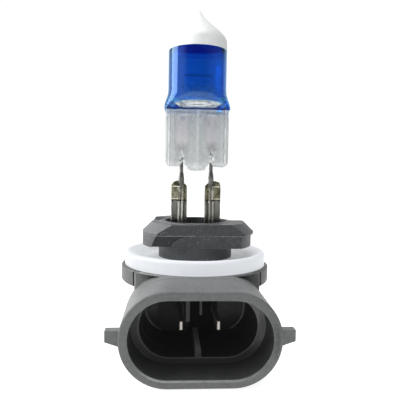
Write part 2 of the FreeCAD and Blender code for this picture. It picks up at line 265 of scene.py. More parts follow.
def plastic(name, dark, light, rough=0.46, grain=1.0, zones=False):
    k = Mat(name)
    big = k.noise(90.0, 3.0, 0.6)
    fine = k.noise(5200.0, 2.0, 0.6)
    flow = k.noise(420.0, 5.0, 0.62)
    col = k.ramp(k.math("ADD", k.math("MULTIPLY", big, 0.55), k.math("MULTIPLY", flow, 0.45)),
                 [(0.36, dark), (0.64, light)])
    # dusty worn edges with a painted highlight along them, and a few pale specks
    geo = k.node("ShaderNodeNewGeometry")
    bev = k.node("ShaderNodeBevel", samples=6)
    bev.inputs["Radius"].default_value = 0.00016
    dot_n = k.node("ShaderNodeVectorMath", operation="DOT_PRODUCT")
    k.link(bev.outputs["Normal"], dot_n.inputs[0])
    k.link(geo.outputs["Normal"], dot_n.inputs[1])
    edge = k.math("MULTIPLY", k.range(dot_n.outputs["Value"], 0.985, 0.86, 0.0, 0.55), k.range(flow, 0.38, 0.60, 0.25, 1.0))
    if zones:
        x, y, z = k.xyz()
        ax = k.math("ABSOLUTE", x)
        # upper moulding above the flange: the same plastic painted darker, as painted shade
        upper = k.range(z, -3.4 * MM, -3.0 * MM, 0.0, 1.0)
        col = k.mix(upper, col, k.ramp(flow, [(0.3, (0.030, 0.034, 0.037)), (0.7, (0.046, 0.050, 0.053))]))
        seam = k.range(k.math("ABSOLUTE", k.math("SUBTRACT", z, 2.10 * MM)), 0.035 * MM, 0.085 * MM, 1.0, 0.0)
        seam = k.math("MULTIPLY", seam, k.range(k.noise(1300.0, 3.0), 0.35, 0.6, 0.15, 0.75))
        col = k.mix(seam, col, (0.26, 0.27, 0.28))
        # inside of the plug socket: painted dark as painted shade
        dx = k.math("MAXIMUM", k.math("SUBTRACT", ax, 4.8 * MM), 0.0)
        dz = k.math("SUBTRACT", z, -11.1 * MM)
        d2 = k.math("SQRT", k.math("ADD", k.math("MULTIPLY", dx, dx), k.math("MULTIPLY", dz, dz)))
        inner = k.math("MULTIPLY", k.range(d2, 5.80 * MM, 5.86 * MM, 1.0, 0.0), k.range(y, -20.38 * MM, -20.1 * MM, 0.0, 1.0))
        inner = k.math("MULTIPLY", inner, k.range(y, -2.6 * MM, -2.4 * MM, 1.0, 0.0))
        outside = k.math("MULTIPLY", k.range(y, -13.7 * MM, -13.6 * MM, 0.0, 1.0), k.range(ax, 9.5 * MM, 9.7 * MM, 0.0, 1.0))
        inner = k.math("MULTIPLY", inner, k.math("SUBTRACT", 1.0, outside))
        col = k.mix(inner, col, k.ramp(flow, [(0.3, (0.016, 0.018, 0.017)), (0.7, (0.030, 0.032, 0.031))]))
        # the walls beside the blades: painted shade between them, painted light to the right, painted shade round the
        # rim of the end wall and a painted highlight line round it
        mid = k.math("MULTIPLY", k.range(x, -1.4 * MM, -0.9 * MM, 0.0, 1.0), k.range(x, 3.6 * MM, 3.9 * MM, 1.0, 0.0))
        deep = k.math("MULTIPLY", inner, k.range(y, -13.7 * MM, -13.5 * MM, 0.0, 1.0))
        roof = k.range(z, -14.0 * MM, -10.2 * MM, 0.0, 1.0)
        wall = k.math("MULTIPLY", inner, k.range(y, -3.3 * MM, -3.1 * MM, 0.0, 1.0))
        rightb = k.math("MULTIPLY", k.range(x, 3.9 * MM, 4.1 * MM, 0.0, 1.0), k.math("MULTIPLY", roof, wall))
        col = k.mix(k.math("MULTIPLY", mid, k.math("MULTIPLY", wall, 0.62)), col, (0.004, 0.005, 0.005))
        col = k.mix(k.math("MULTIPLY", rightb, k.range(flow, 0.35, 0.6, 0.35, 0.9)), col, (0.150, 0.156, 0.154))
        ex = k.math("MAXIMUM", k.math("SUBTRACT", ax, 4.4 * MM), 0.0)
        e2 = k.math("SQRT", k.math("ADD", k.math("MULTIPLY", ex, ex), k.math("MULTIPLY", dz, dz)))
        rimw = k.math("MULTIPLY", k.range(e2, 4.52 * MM, 4.58 * MM, 0.0, 1.0), wall)
        col = k.mix(rimw, col, (0.010, 0.011, 0.011))
        arc = k.math("MULTIPLY", k.range(k.math("ABSOLUTE", k.math("SUBTRACT", e2, 4.42 * MM)), 0.10 * MM, 0.20 * MM, 1.0, 0.0), wall)
        arc = k.math("MULTIPLY", arc, k.range(ax, 5.6 * MM, 7.2 * MM, 0.0, 1.0))
        arc = k.math("MULTIPLY", arc, k.range(z, -7.6 * MM, -8.4 * MM, 0.0, 1.0))
        col = k.mix(arc, col, (0.30, 0.31, 0.31))
        # centre rib on the socket floor, with a painted highlight on its upward faces
        rib = k.math("MULTIPLY", k.range(ax, 0.50 * MM, 0.56 * MM, 1.0, 0.0), k.range(z, -14.80 * MM, -14.84 * MM, 0.0, 1.0))
        rib = k.math("MULTIPLY", rib, k.range(z, -16.15 * MM, -16.05 * MM, 0.0, 1.0))
        geo_n = k.node("ShaderNodeSeparateXYZ")
        k.link(geo.outputs["Normal"], geo_n.inputs[0])
        lid = k.range(geo_n.outputs[2], 0.5, 0.9, 0.0, 1.0)
        col = k.mix(k.math("MULTIPLY", rib, inner), col, (0.075, 0.078, 0.078))
        col = k.mix(k.math("MULTIPLY", k.math("MULTIPLY", rib, inner), lid), col, (0.62, 0.63, 0.63))
        # painted shade on the hanging ribs
        hang = k.math("MULTIPLY", k.math("MULTIPLY", deep, k.range(y, -3.3 * MM, -3.1 * MM, 1.0, 0.0)), k.range(z, -10.7 * MM, -10.4 * MM, 0.0, 1.0))
        hang = k.math("MULTIPLY", hang, k.range(z, -6.3 * MM, -6.4 * MM, 0.0, 1.0))
        hang = k.math("MULTIPLY", hang, k.math("MAXIMUM", k.math("MULTIPLY", k.range(x, -2.05 * MM, -2.0 * MM, 0.0, 1.0), k.range(x, -1.4 * MM, -1.35 * MM, 1.0, 0.0)),
                                               k.math("MULTIPLY", k.range(x, 0.10 * MM, 0.15 * MM, 0.0, 1.0), k.range(x, 0.50 * MM, 0.55 * MM, 1.0, 0.0))))
        col = k.mix(hang, col, (0.008, 0.009, 0.008))
        # ledge between the two stages of the socket: painted shade, less deep than on the walls, painted light on the
        # right, painted highlight on the inner edge
        ledge = k.math("MULTIPLY", k.range(k.math("ABSOLUTE", k.math("SUBTRACT", y, -13.9 * MM)), 0.10 * MM, 0.2 * MM, 1.0, 0.0), k.range(e2, 4.90 * MM, 4.98 * MM, 0.0, 1.0))
        col = k.mix(ledge, col, (0.052, 0.055, 0.054))
        rlip = k.math("MULTIPLY", k.math("MULTIPLY", ledge, k.range(x, 7.6 * MM, 8.8 * MM, 0.0, 1.0)), k.range(z, -14.6 * MM, -13.2 * MM, 0.15, 1.0))
        rlip = k.math("MULTIPLY", rlip, k.range(k.noise(1100.0, 4.0, 0.6, (0.6, 1.0, 0.25)), 0.36, 0.56, 0.55, 1.0))
        col = k.mix(rlip, col, (0.20, 0.205, 0.20))
        lineb = k.math("MULTIPLY", ledge, k.range(e2, 5.16 * MM, 5.06 * MM, 0.0, 0.8))
        col = k.mix(lineb, col, (0.16, 0.165, 0.165))
        # first-stage walls near the mouth: painted shade, less deep than further in
        stage1 = k.math("MULTIPLY", inner, k.math("MULTIPLY", k.range(y, -14.1 * MM, -14.4 * MM, 0.0, 1.0), k.range(z, -15.2 * MM, -16.4 * MM, 0.0, 1.0)))
        col = k.mix(stage1, col, k.ramp(flow, [(0.3, (0.026, 0.028, 0.027)), (0.7, (0.040, 0.042, 0.041))]))
        shade = k.math("MULTIPLY", k.range(y, -20.0 * MM, -20.2 * MM, 0.0, 1.0), k.range(x, 10.3 * MM, 11.3 * MM, 0.0, 1.0))
        shade = k.math("MULTIPLY", shade, k.math("MULTIPLY", k.range(d2, 6.9 * MM, 6.4 * MM, 0.0, 0.95), k.math("SUBTRACT", 1.0, inner)))
        col = k.mix(shade, col, (0.034, 0.037, 0.034))
        # painted light patch on the left of the end wall
        leftb = k.math("MULTIPLY", k.math("MULTIPLY", wall, k.range(x, -6.3 * MM, -7.0 * MM, 0.0, 1.0)), k.range(z, -13.2 * MM, -10.6 * MM, 0.0, 1.0))
        col = k.mix(k.math("MULTIPLY", leftb, k.range(flow, 0.35, 0.6, 0.5, 1.0)), col, (0.16, 0.165, 0.165))
        # painted highlight along the lower edge of the mouth, stronger on the left, and a mottled moulded skin all over
        mouth = k.math("MULTIPLY", k.range(k.math("ABSOLUTE", k.math("SUBTRACT", d2, 5.96 * MM)), 0.10 * MM, 0.20 * MM, 1.0, 0.0), k.range(y, -19.9 * MM, -20.1 * MM, 0.0, 1.0))
        mouth = k.math("MULTIPLY", mouth, k.math("MULTIPLY", k.range(z, -15.4 * MM, -16.5 * MM, 0.0, 1.0), k.range(x, -5.0 * MM, 8.0 * MM, 1.0, 0.40)))
        col = k.mix(k.math("MULTIPLY", mouth, k.math("SUBTRACT", 1.0, inner)), col, (0.27, 0.275, 0.285))
        skin = k.noise(2300.0, 4.0, 0.7)
        skin2 = k.noise(1500.0, 5.0, 0.7, (1.0, 1.0, 1.3))
        body_m = k.math("MULTIPLY", k.math("SUBTRACT", 1.0, upper), k.math("SUBTRACT", 1.0, inner))
        col = k.mix(k.math("MULTIPLY", k.range(skin, 0.50, 0.64, 0.0, 0.34), body_m), col, (0.20, 0.205, 0.195))
        col = k.mix(k.math("MULTIPLY", k.range(skin2, 0.48, 0.36, 0.0, 0.40), body_m), col, (0.062, 0.068, 0.062))
        col = k.mix(k.math("MULTIPLY", k.range(skin, 0.50, 0.64, 0.0, 0.45), upper), col, (0.080, 0.085, 0.094))
        col = k.mix(k.math("MULTIPLY", k.range(skin2, 0.48, 0.36, 0.0, 0.50), upper), col, (0.020, 0.024, 0.026))
        # duller finish, and a faint painted glow deep inside the socket standing in for bounced light
        spec = k.math("SUBTRACT", 0.45, k.math("MULTIPLY", wall, k.math("ADD", 0.20, k.math("MULTIPLY", mid, 0.23))))
        k.link(spec, k.b.inputs["Specular IOR Level"])
        k.b.inputs["Emission Color"].default_value = (0.98, 1.0, 0.99, 1.0)
        k.link(k.math("MULTIPLY", inner, 0.0032), k.b.inputs["Emission Strength"])
        # neck between the lugs and the seal: painted shade, less deep than on the lugs; painted shade on the
        # left-facing lug ends
        neck = k.math("MULTIPLY", k.range(z, 0.05 * MM, -0.05 * MM, 0.0, 1.0), upper)
        col = k.mix(k.math("MULTIPLY", neck, 0.85), col, (0.066, 0.071, 0.075))
        lend = k.math("MULTIPLY", k.range(geo_n.outputs[0], -0.55, -0.85, 0.0, 1.0), upper)
        col = k.mix(k.math("MULTIPLY", lend, 0.7), col, (0.018, 0.020, 0.022))
        # painted light on faces turned up and to the left
        tl = k.math("MULTIPLY", k.math("MULTIPLY", k.range(geo_n.outputs[0], -0.15, -0.35, 0.0, 1.0), k.range(geo_n.outputs[2], 0.15, 0.35, 0.0, 1.0)), upper)
        col = k.mix(k.math("MULTIPLY", tl, 0.80), col, (0.108, 0.111, 0.117))
        # fine pale grains in the upper moulding
        grain_v = k.node("ShaderNodeTexVoronoi")
        grain_v.inputs["Scale"].default_value = 1700.0
        k.link(k.tc.outputs["Object"], grain_v.inputs["Vector"])
        gr = k.math("MULTIPLY", k.range(grain_v.outputs["Distance"], 0.10, 0.26, 0.55, 0.0), k.range(k.noise(520.0, 3.0), 0.50, 0.64, 0.0, 1.0))
        col = k.mix(k.math("MULTIPLY", gr, upper), col, (0.30, 0.31, 0.32))
    # edge colour: wear plus a painted highlight along the rounded edges
    worn_edge_and_sheen = tuple(min(1.0, c * 2.1 + 0.02) for c in light)
    if zones:
        # flange rim painted darker than the block under it, as painted shade
        r = k.math("SQRT", k.math("ADD", k.math("MULTIPLY", x, x), k.math("MULTIPLY", y, y)))
        skirt = k.math("MULTIPLY", k.range(r, 11.7 * MM, 11.9 * MM, 0.0, 1.0), k.range(y, -9.4 * MM, -9.0 * MM, 0.0, 1.0))
        skirt = k.math("MULTIPLY", skirt, k.range(z, -3.3 * MM, -3.45 * MM, 0.0, 1.0))
        skirt = k.math("MULTIPLY", skirt, k.range(z, -6.6 * MM, -6.35 * MM, 0.0, 1.0))
        col = k.mix(skirt, col, k.ramp(flow, [(0.3, (0.042, 0.045, 0.042)), (0.7, (0.060, 0.063, 0.060))]))
        # painted light on the left of the block's front face under the flange
        pale = k.math("MULTIPLY", k.range(y, -9.0 * MM, -9.15 * MM, 0.0, 1.0), k.range(y, -9.6 * MM, -9.3 * MM, 0.0, 1.0))
        pale = k.math("MULTIPLY", pale, k.range(x, -5.0 * MM, -8.5 * MM, 0.0, 1.0))
        col = k.mix(pale, col, (0.19, 0.20, 0.195))
    col = k.mix(edge, col, worn_edge_and_sheen)
    speck = k.node("ShaderNodeTexVoronoi")
    speck.inputs["Scale"].default_value = 520.0
    k.link(k.tc.outputs["Object"], speck.inputs["Vector"])
    dot = k.range(speck.outputs["Distance"], 0.0, 0.10, 0.35, 0.0)
    pick = k.range(k.noise(260.0, 1.0), 0.60, 0.66, 0.0, 1.0)
    col = k.mix(k.math("MULTIPLY", dot, pick), col, (0.42, 0.42, 0.41))
    k.link(col, k.b.inputs["Base Color"])
    k.link(k.range(flow, 0.3, 0.7, rough - 0.07, rough + 0.1), k.b.inputs["Roughness"])
    if not zones:
        k.b.inputs["Specular IOR Level"].default_value = 0.45
    n1 = k.bump(fine, 0.25 * grain, 0.00004, bev.outputs["Normal"])
    n2 = k.bump(flow, 0.12 * grain, 0.00012, n1)
    k.link(n2, k.b.inputs["Normal"])
    return k.m


def metal(name, base, tarnish, amount=0.5, rough=0.32, stretch=(1, 1, 0.12), scale=1600.0, aniso=0.0, heat=None):
    k = Mat(name)
    k.b.inputs["Metallic"].default_value = 1.0
    streak = k.noise(scale, 5.0, 0.6, stretch)
    blot = k.noise(650.0, 4.0, 0.6)
    col = k.mix(k.range(blot, 0.5 - amount * 0.22, 0.72 - amount * 0.12, 0.0, min(1.0, 0.3 + amount)), base, tarnish)
    if heat:
        z = k.xyz()[2]
        col = k.mix(k.math("MULTIPLY", k.range(z, heat[0] * MM, heat[1] * MM, 0.0, 0.8),
                           k.range(k.noise(900.0, 3.0), 0.3, 0.65, 0.35, 1.0)), col, heat[2])
    dim = k.range(streak, 0.3, 0.7, 0.72, 1.05)
    n = k.node("ShaderNodeMix", data_type="RGBA", blend_type="MULTIPLY")
    n.inputs[0].default_value = 1.0
    k.link(col, n.inputs[6])
    k.link(dim, n.inputs[7])
    k.link(n.outputs[2], k.b.inputs["Base Color"])
    k.link(k.range(streak, 0.3, 0.7, rough - 0.08, rough + 0.14), k.b.inputs["Roughness"])
    k.link(k.bump(streak, 0.2, 0.00003), k.b.inputs["Normal"])
    return k.m


def silicone(name):
    k = Mat(name)
    soft = k.noise(160.0, 4.0, 0.6)
    fine = k.noise(2600.0, 3.0, 0.6)
    lines = k.noise(900.0, 3.0, 0.6, (0.25, 0.25, 3.0))
    col = k.ramp(k.math("ADD", k.math("MULTIPLY", soft, 0.6), k.math("MULTIPLY", lines, 0.4)),
                 [(0.32, (0.19, 0.197, 0.205)), (0.68, (0.235, 0.243, 0.253))])
    x, y, z = k.xyz()
    r = k.math("SQRT", k.math("ADD", k.math("MULTIPLY", x, x), k.math("MULTIPLY", y, y)))
    web = k.range(r, 10.1 * MM, 10.9 * MM, 1.0, 0.0)
    dirt = k.math("MULTIPLY", web, k.range(k.noise(1500.0, 4.0, 0.7), 0.42, 0.62, 0.05, 0.55))
    col = k.mix(dirt, col, (0.11, 0.118, 0.11))
    k.link(col, k.b.inputs["Base Color"])
    k.link(k.range(fine, 0.3, 0.7, 0.42, 0.56), k.b.inputs["Roughness"])
    k.b.inputs["Subsurface Weight"].default_value = 0.5
    k.b.inputs["Subsurface Radius"].default_value = (1.0, 1.0, 1.1)
    k.b.inputs["Subsurface Scale"].default_value = 0.0016
    k.b.inputs["Specular IOR Level"].default_value = 0.4
    # painted glow standing in for light scattered through the milky rubber, brighter on the left
    k.b.inputs["Emission Color"].default_value = (0.93, 0.96, 1.0, 1.0)
    rim_e = k.math("MULTIPLY", k.range(k.math("ABSOLUTE", x), 4.0 * MM, 12.0 * MM, 0.60, 0.49), k.range(x, -4.0 * MM, -11.0 * MM, 1.0, 0.88))
    web_e = k.math("MULTIPLY", k.range(x, -9.0 * MM, 10.0 * MM, 0.47, 0.27), k.range(dirt, 0.0, 0.5, 1.0, 0.82))
    t = k.range(r, 9.9 * MM, 12.0 * MM, 0.0, 1.0)
    k.link(k.math("ADD", k.math("MULTIPLY", rim_e, t), k.math("MULTIPLY", web_e, k.math("SUBTRACT", 1.0, t))),
           k.b.inputs["Emission Strength"])
    k.link(k.bump(fine, 0.18, 0.00005), k.b.inputs["Normal"])
    return k.m


def quartz_mat(name):
    """Clear in the capsule; the press seal is cloudy grey glass with a mottled skin."""
    k = Mat(name)
    x, y, z = k.xyz()
    k.b.inputs["Transmission Weight"].default_value = 1.0
    k.b.inputs["IOR"].default_value = 1.458
    seal = k.range(z, 23.96 * MM, 24.10 * MM, 1.0, 0.0)
    ax = k.math("ABSOLUTE", x)
    wave = k.noise(1100.0, 3.0, 0.55, (1.0, 1.0, 0.5))
    mott = k.noise(2100.0, 5.0, 0.62)
    cloud = k.noise(420.0, 3.0, 0.5, (1.0, 1.0, 0.35))
    grey = k.ramp(mott, [(0.3, (0.72, 0.745, 0.75)), (0.7, (0.86, 0.885, 0.885))])
    k.link(k.mix(seal, (0.995, 0.998, 1.0), grey), k.b.inputs["Base Color"])
    k.link(k.math("MULTIPLY", seal, k.range(mott, 0.35, 0.7, 0.05, 0.20)), k.b.inputs["Roughness"])
    n = k.node("ShaderNodeBump")
    n.inputs["Distance"].default_value = 0.00025
    k.link(wave, n.inputs["Height"])
    k.link(k.math("MULTIPLY", seal, 0.30), n.inputs["Strength"])
    k.link(n.outputs["Normal"], k.b.inputs["Normal"])
    # cloudy body of the seal, with drawn vertical streaks
    streak = k.noise(1500.0, 4.0, 0.6, (1.0, 1.0, 0.05))
    fine = k.noise(4200.0, 5.0, 0.7, (1.0, 1.0, 0.6))
    mix3 = k.math("ADD", k.math("MULTIPLY", fine, 0.54), k.math("ADD", k.math("MULTIPLY", cloud, 0.20), k.math("MULTIPLY", streak, 0.26)))
    body = k.ramp(mix3, [(0.36, (0.33, 0.35, 0.35)), (0.47, (0.52, 0.545, 0.545)), (0.54, (0.60, 0.62, 0.625)), (0.66, (0.86, 0.88, 0.885))])
    off = lambda at: k.math("ABSOLUTE", k.math("SUBTRACT", ax, at * MM))
    # warmer patches over the foils and a bright line along the top edge of each foil
    foil = k.math("MULTIPLY", k.range(off(2.7), 0.8 * MM, 1.3 * MM, 1.0, 0.0), k.range(z, 17.2 * MM, 18.6 * MM, 0.0, 1.0))
    foil = k.math("MULTIPLY", foil, k.range(z, 23.16 * MM, 23.08 * MM, 0.0, 1.0))
    body = k.mix(k.math("MULTIPLY", foil, 0.60), body, (0.90, 0.87, 0.90))
    tip = k.math("MULTIPLY", k.range(off(2.55), 0.60 * MM, 0.75 * MM, 1.0, 0.0),
                 k.range(k.math("ABSOLUTE", k.math("SUBTRACT", z, 23.12 * MM)), 0.05 * MM, 0.11 * MM, 0.9, 0.0))
    body = k.mix(tip, body, (1.0, 1.0, 1.0))
    body = k.mix(k.range(ax, 3.6 * MM, 4.6 * MM, 0.0, 0.12), body, (0.90, 0.92, 0.92))
    nap = k.math("MULTIPLY", k.range(z, 19.5 * MM, 22.8 * MM, 0.0, 1.0), k.range(k.noise(1900.0, 6.0, 0.75, (1.0, 1.0, 0.45)), 0.50, 0.62, 0.0, 0.70))
    body = k.mix(nap, body, (0.26, 0.27, 0.33))
    body = k.mix(tip, body, (1.0, 1.0, 1.0))
    # edge rails: a painted highlight line with a painted dark line on each side of it
    broken = k.range(k.noise(700.0, 3.0, 0.5, (0.2, 0.2, 1.0)), 0.38, 0.58, 0.35, 1.0)
    body = k.mix(k.math("MULTIPLY", k.range(off(4.78), 0.05 * MM, 0.13 * MM, 0.55, 0.0), broken), body, (0.26, 0.28, 0.28))
    body = k.mix(k.math("MULTIPLY", k.range(off(5.42), 0.06 * MM, 0.16 * MM, 0.45, 0.0), broken), body, (0.30, 0.32, 0.32))
    body = k.mix(k.math("MULTIPLY", k.range(off(5.05), 0.08 * MM, 0.18 * MM, 0.80, 0.0), broken), body, (1.0, 1.0, 1.0))
    # painted highlight along the centre ridge
    ridge = k.range(k.math("ABSOLUTE", k.math("SUBTRACT", x, 0.12 * MM)), 0.05 * MM, 0.22 * MM, 0.42, 0.0)
    body = k.mix(k.math("MULTIPLY", ridge, k.range(streak, 0.35, 0.6, 0.4, 1.0)), body, (0.92, 0.94, 0.95))
    # bright drawn-down funnels round the leads, and painted highlights along the lower edge
    wide = k.range(z, 17.0 * MM, 13.9 * MM, 0.22, 0.62)
    funnel = k.math("MULTIPLY", k.range(k.math("SUBTRACT", k.math("DIVIDE", off(2.7), MM), wide), -0.08, 0.12, 0.9, 0.0),
                    k.range(z, 17.6 * MM, 16.4 * MM, 0.0, 1.0))
    spot = k.noise(2600.0, 3.0, 0.6)
    body = k.mix(funnel, body, k.ramp(spot, [(0.42, (0.20, 0.21, 0.21)), (0.53, (0.96, 0.98, 0.98))]))
    foot = k.math("MULTIPLY", k.range(z, 15.0 * MM, 14.1 * MM, 0.0, 0.85), k.range(spot, 0.40, 0.56, 0.15, 1.0))
    body = k.mix(foot, body, (0.98, 0.99, 0.99))
    tr = k.node("ShaderNodeBsdfTranslucent")
    df = k.node("ShaderNodeBsdfDiffuse")
    k.link(body, tr.inputs["Color"])
    k.link(body, df.inputs["Color"])
    half = k.node("ShaderNodeMixShader")
    half.inputs[0].default_value = 0.45
    k.link(tr.outputs[0], half.inputs[1])
    k.link(df.outputs[0], half.inputs[2])
    mx = k.node("ShaderNodeMixShader")
    k.link(k.math("MULTIPLY", k.math("MINIMUM", seal, 1.0), k.math("MAXIMUM", funnel, k.math("ADD", k.range(cloud, 0.35, 0.65, 0.56, 0.74), k.math("MULTIPLY", foil, 0.30)))), mx.inputs[0])
    k.link(k.b.outputs[0], mx.inputs[1])
    k.link(half.outputs[0], mx.inputs[2])
    # glass skin over the cloudy body
    gloss = k.node("ShaderNodeBsdfGlossy")
    gloss.inputs["Roughness"].default_value = 0.10
    k.link(n.outputs["Normal"], gloss.inputs["Normal"])
    fr = k.node("ShaderNodeFresnel")
    fr.inputs["IOR"].default_value = 1.45
    k.link(n.outputs["Normal"], fr.inputs["Normal"])
    geo = k.node("ShaderNodeNewGeometry")
    skin = k.node("ShaderNodeMixShader")
    k.link(k.math("MULTIPLY", k.math("MULTIPLY", fr.outputs[0], seal), k.math("SUBTRACT", 1.0, geo.outputs["Backfacing"])), skin.inputs[0])
    k.link(mx.outputs[0], skin.inputs[1])
    k.link(gloss.outputs[0], skin.inputs[2])
    # glints along the drawn rails and in the funnels
    glint = k.node("ShaderNodeEmission")
    glint.inputs["Strength"].default_value = 0.93
    rail = k.math("MULTIPLY", k.range(off(5.02), 0.05 * MM, 0.12 * MM, 0.75, 0.0), k.range(z, 21.4 * MM, 20.6 * MM, 0.0, 1.0))
    rail = k.math("MULTIPLY", rail, k.range(k.noise(800.0, 4.0, 0.6, (0.2, 0.2, 1.0)), 0.42, 0.56, 0.15, 1.0))
    tine = k.math("MULTIPLY", funnel, k.range(k.noise(2400.0, 3.0, 0.6, (1.0, 1.0, 0.35)), 0.50, 0.58, 0.0, 0.75))
    fin = k.node("ShaderNodeMixShader")
    k.link(k.math("MULTIPLY", k.math("MAXIMUM", rail, tine), seal), fin.inputs[0])
    k.link(skin.outputs[0], fin.inputs[1])
    k.link(glint.outputs[0], fin.inputs[2])
    k.link(fin.outputs[0], k.out.inputs["Surface"])
    return k.m


def coat_mat(name, tint):
    """Thin coloured film: tinted see-through layer with a clear gloss on top."""
    k = Mat(name)
    k.t.nodes.remove(k.b)
    x, y, z = k.xyz()
    film = k.noise(240.0, 3.0, 0.5, (1.0, 1.0, 0.3))
    c = k.mix(k.range(film, 0.35, 0.65, 0.0, 1.0), tuple(q * 0.96 for q in tint), tuple(min(1.0, q * 1.04) for q in tint))
    # the film thins out to clear glass on the pressed shoulders and is densest along its lower edge
    ex = k.math("POWER", k.math("ABSOLUTE", k.math("DIVIDE", x, 4.50 * MM)), 2.6)
    ez = k.math("POWER", k.math("ABSOLUTE", k.math("DIVIDE", k.math("SUBTRACT", z, 24.80 * MM), 0.60 * MM)), 2.0)
    bare = k.range(k.math("ADD", ex, ez), 0.78, 1.02, 1.0, 0.0)
    ix = k.math("POWER", k.math("ABSOLUTE", k.math("DIVIDE", x, 2.3 * MM)), 2.0)
    iz = k.math("POWER", k.math("ABSOLUTE", k.math("DIVIDE", k.math("SUBTRACT", z, 24.78 * MM), 0.34 * MM)), 2.0)
    core = k.range(k.math("ADD", ix, iz), 0.75, 1.1, 1.0, 0.0)
    rimc = k.ramp(k.noise(1500.0, 4.0, 0.7), [(0.38, (0.58, 0.60, 0.62)), (0.60, (0.90, 0.92, 0.93))])
    glass = k.mix(core, rimc, (1.0, 1.0, 1.0))
    slit = k.math("MULTIPLY", k.range(k.math("ABSOLUTE", x), 0.5 * MM, 1.3 * MM, 0.75, 0.0),
                  k.range(k.math("ABSOLUTE", k.math("SUBTRACT", z, 24.70 * MM)), 0.02 * MM, 0.07 * MM, 1.0, 0.0))
    glass = k.mix(slit, glass, (0.25, 0.26, 0.30))
    c = k.mix(bare, c, glass)
    low = k.range(z, 24.20 * MM, 24.42 * MM, 1.0, 0.0)
    lowc = k.mix(k.range(k.math("ABSOLUTE", x), 2.0 * MM, 4.6 * MM, 1.0, 0.0), (0.02, 0.10, 0.42), (0.12, 0.20, 0.46))
    c = k.mix(low, c, lowc)
    tr = k.node("ShaderNodeBsdfTransparent")
    k.link(c, tr.inputs["Color"])
    # painted pale haze of light inside the wall just above the shoulder
    bl = k.node("ShaderNodeBsdfTranslucent")
    bl.inputs["Color"].default_value = (0.50, 0.68, 0.95, 1.0)
    ax = k.math("ABSOLUTE", x)
    h = k.math("MULTIPLY", k.range(ax, 2.4 * MM, 4.2 * MM, 1.0, 0.0),
               k.math("MULTIPLY", k.range(z, 25.5 * MM, 25.95 * MM, 0.0, 1.0), k.range(z, 28.6 * MM, 26.2 * MM, 0.0, 1.0)))
    h = k.math("MULTIPLY", h, k.range(k.noise(900.0, 5.0, 0.7), 0.3, 0.7, 0.28, 0.88))
    m0 = k.node("ShaderNodeMixShader")
    k.link(h, m0.inputs[0])
    k.link(tr.outputs[0], m0.inputs[1])
    k.link(bl.outputs[0], m0.inputs[2])
    gl = k.node("ShaderNodeBsdfGlossy")
    gl.inputs["Color"].default_value = (0.56, 0.84, 1.0, 1.0)
    gl.inputs["Roughness"].default_value = 0.05
    fr = k.node("ShaderNodeFresnel")
    fr.inputs["IOR"].default_value = 1.6
    geo = k.node("ShaderNodeNewGeometry")
    front = k.math("SUBTRACT", 1.0, geo.outputs["Backfacing"])
    mx = k.node("ShaderNodeMixShader")
    k.link(k.math("MULTIPLY", fr.outputs[0], front), mx.inputs[0])
    k.link(m0.outputs[0], mx.inputs[1])
    k.link(gl.outputs[0], mx.inputs[2])
    k.link(mx.outputs[0], k.out.inputs["Surface"])
    return k.m


def cap_mat(name):
    k = Mat(name)
    n = k.noise(900.0, 4.0, 0.6)
    col = k.ramp(n, [(0.35, (0.62, 0.635, 0.63)), (0.65, (0.69, 0.705, 0.70))])
    x = k.xyz()[0]
    # painted shade across the right side of the cap, deepest at its edge, and painted light on its left
    col = k.mix(k.range(x, 1.5 * MM, 4.9 * MM, 0.0, 1.0), col, (0.50, 0.52, 0.515))
    col = k.mix(k.range(x, 4.5 * MM, 5.1 * MM, 0.0, 0.8), col, (0.36, 0.375, 0.37))
    col = k.mix(k.range(x, 0.5 * MM, -1.5 * MM, 0.0, 1.0), col, (0.76, 0.775, 0.77))
    k.link(col, k.b.inputs["Base Color"])
    k.link(k.range(n, 0.3, 0.7, 0.34, 0.46), k.b.inputs["Roughness"])
    k.link(k.bump(n, 0.15, 0.00006), k.b.inputs["Normal"])
    return k.m


def cap_inside_mat(name):
    """Back of the cap paint: a painted deep blue glow standing in for light through the filter layer under it, paler
    next to the rim.
    """
    k = Mat(name)
    z = k.xyz()[2]
    low = k.range(z, 35.78 * MM, 35.55 * MM, 0.0, 1.0)
    col = k.mix(low, (0.0, 0.0, 0.22), (0.0, 0.15, 0.50))
    k.b.inputs["Base Color"].default_value = (0.0, 0.03, 0.30, 1.0)
    k.b.inputs["Roughness"].default_value = 0.6
    k.link(col, k.b.inputs["Emission Color"])
    k.b.inputs["Emission Strength"].default_value = 0.95
    return k.m


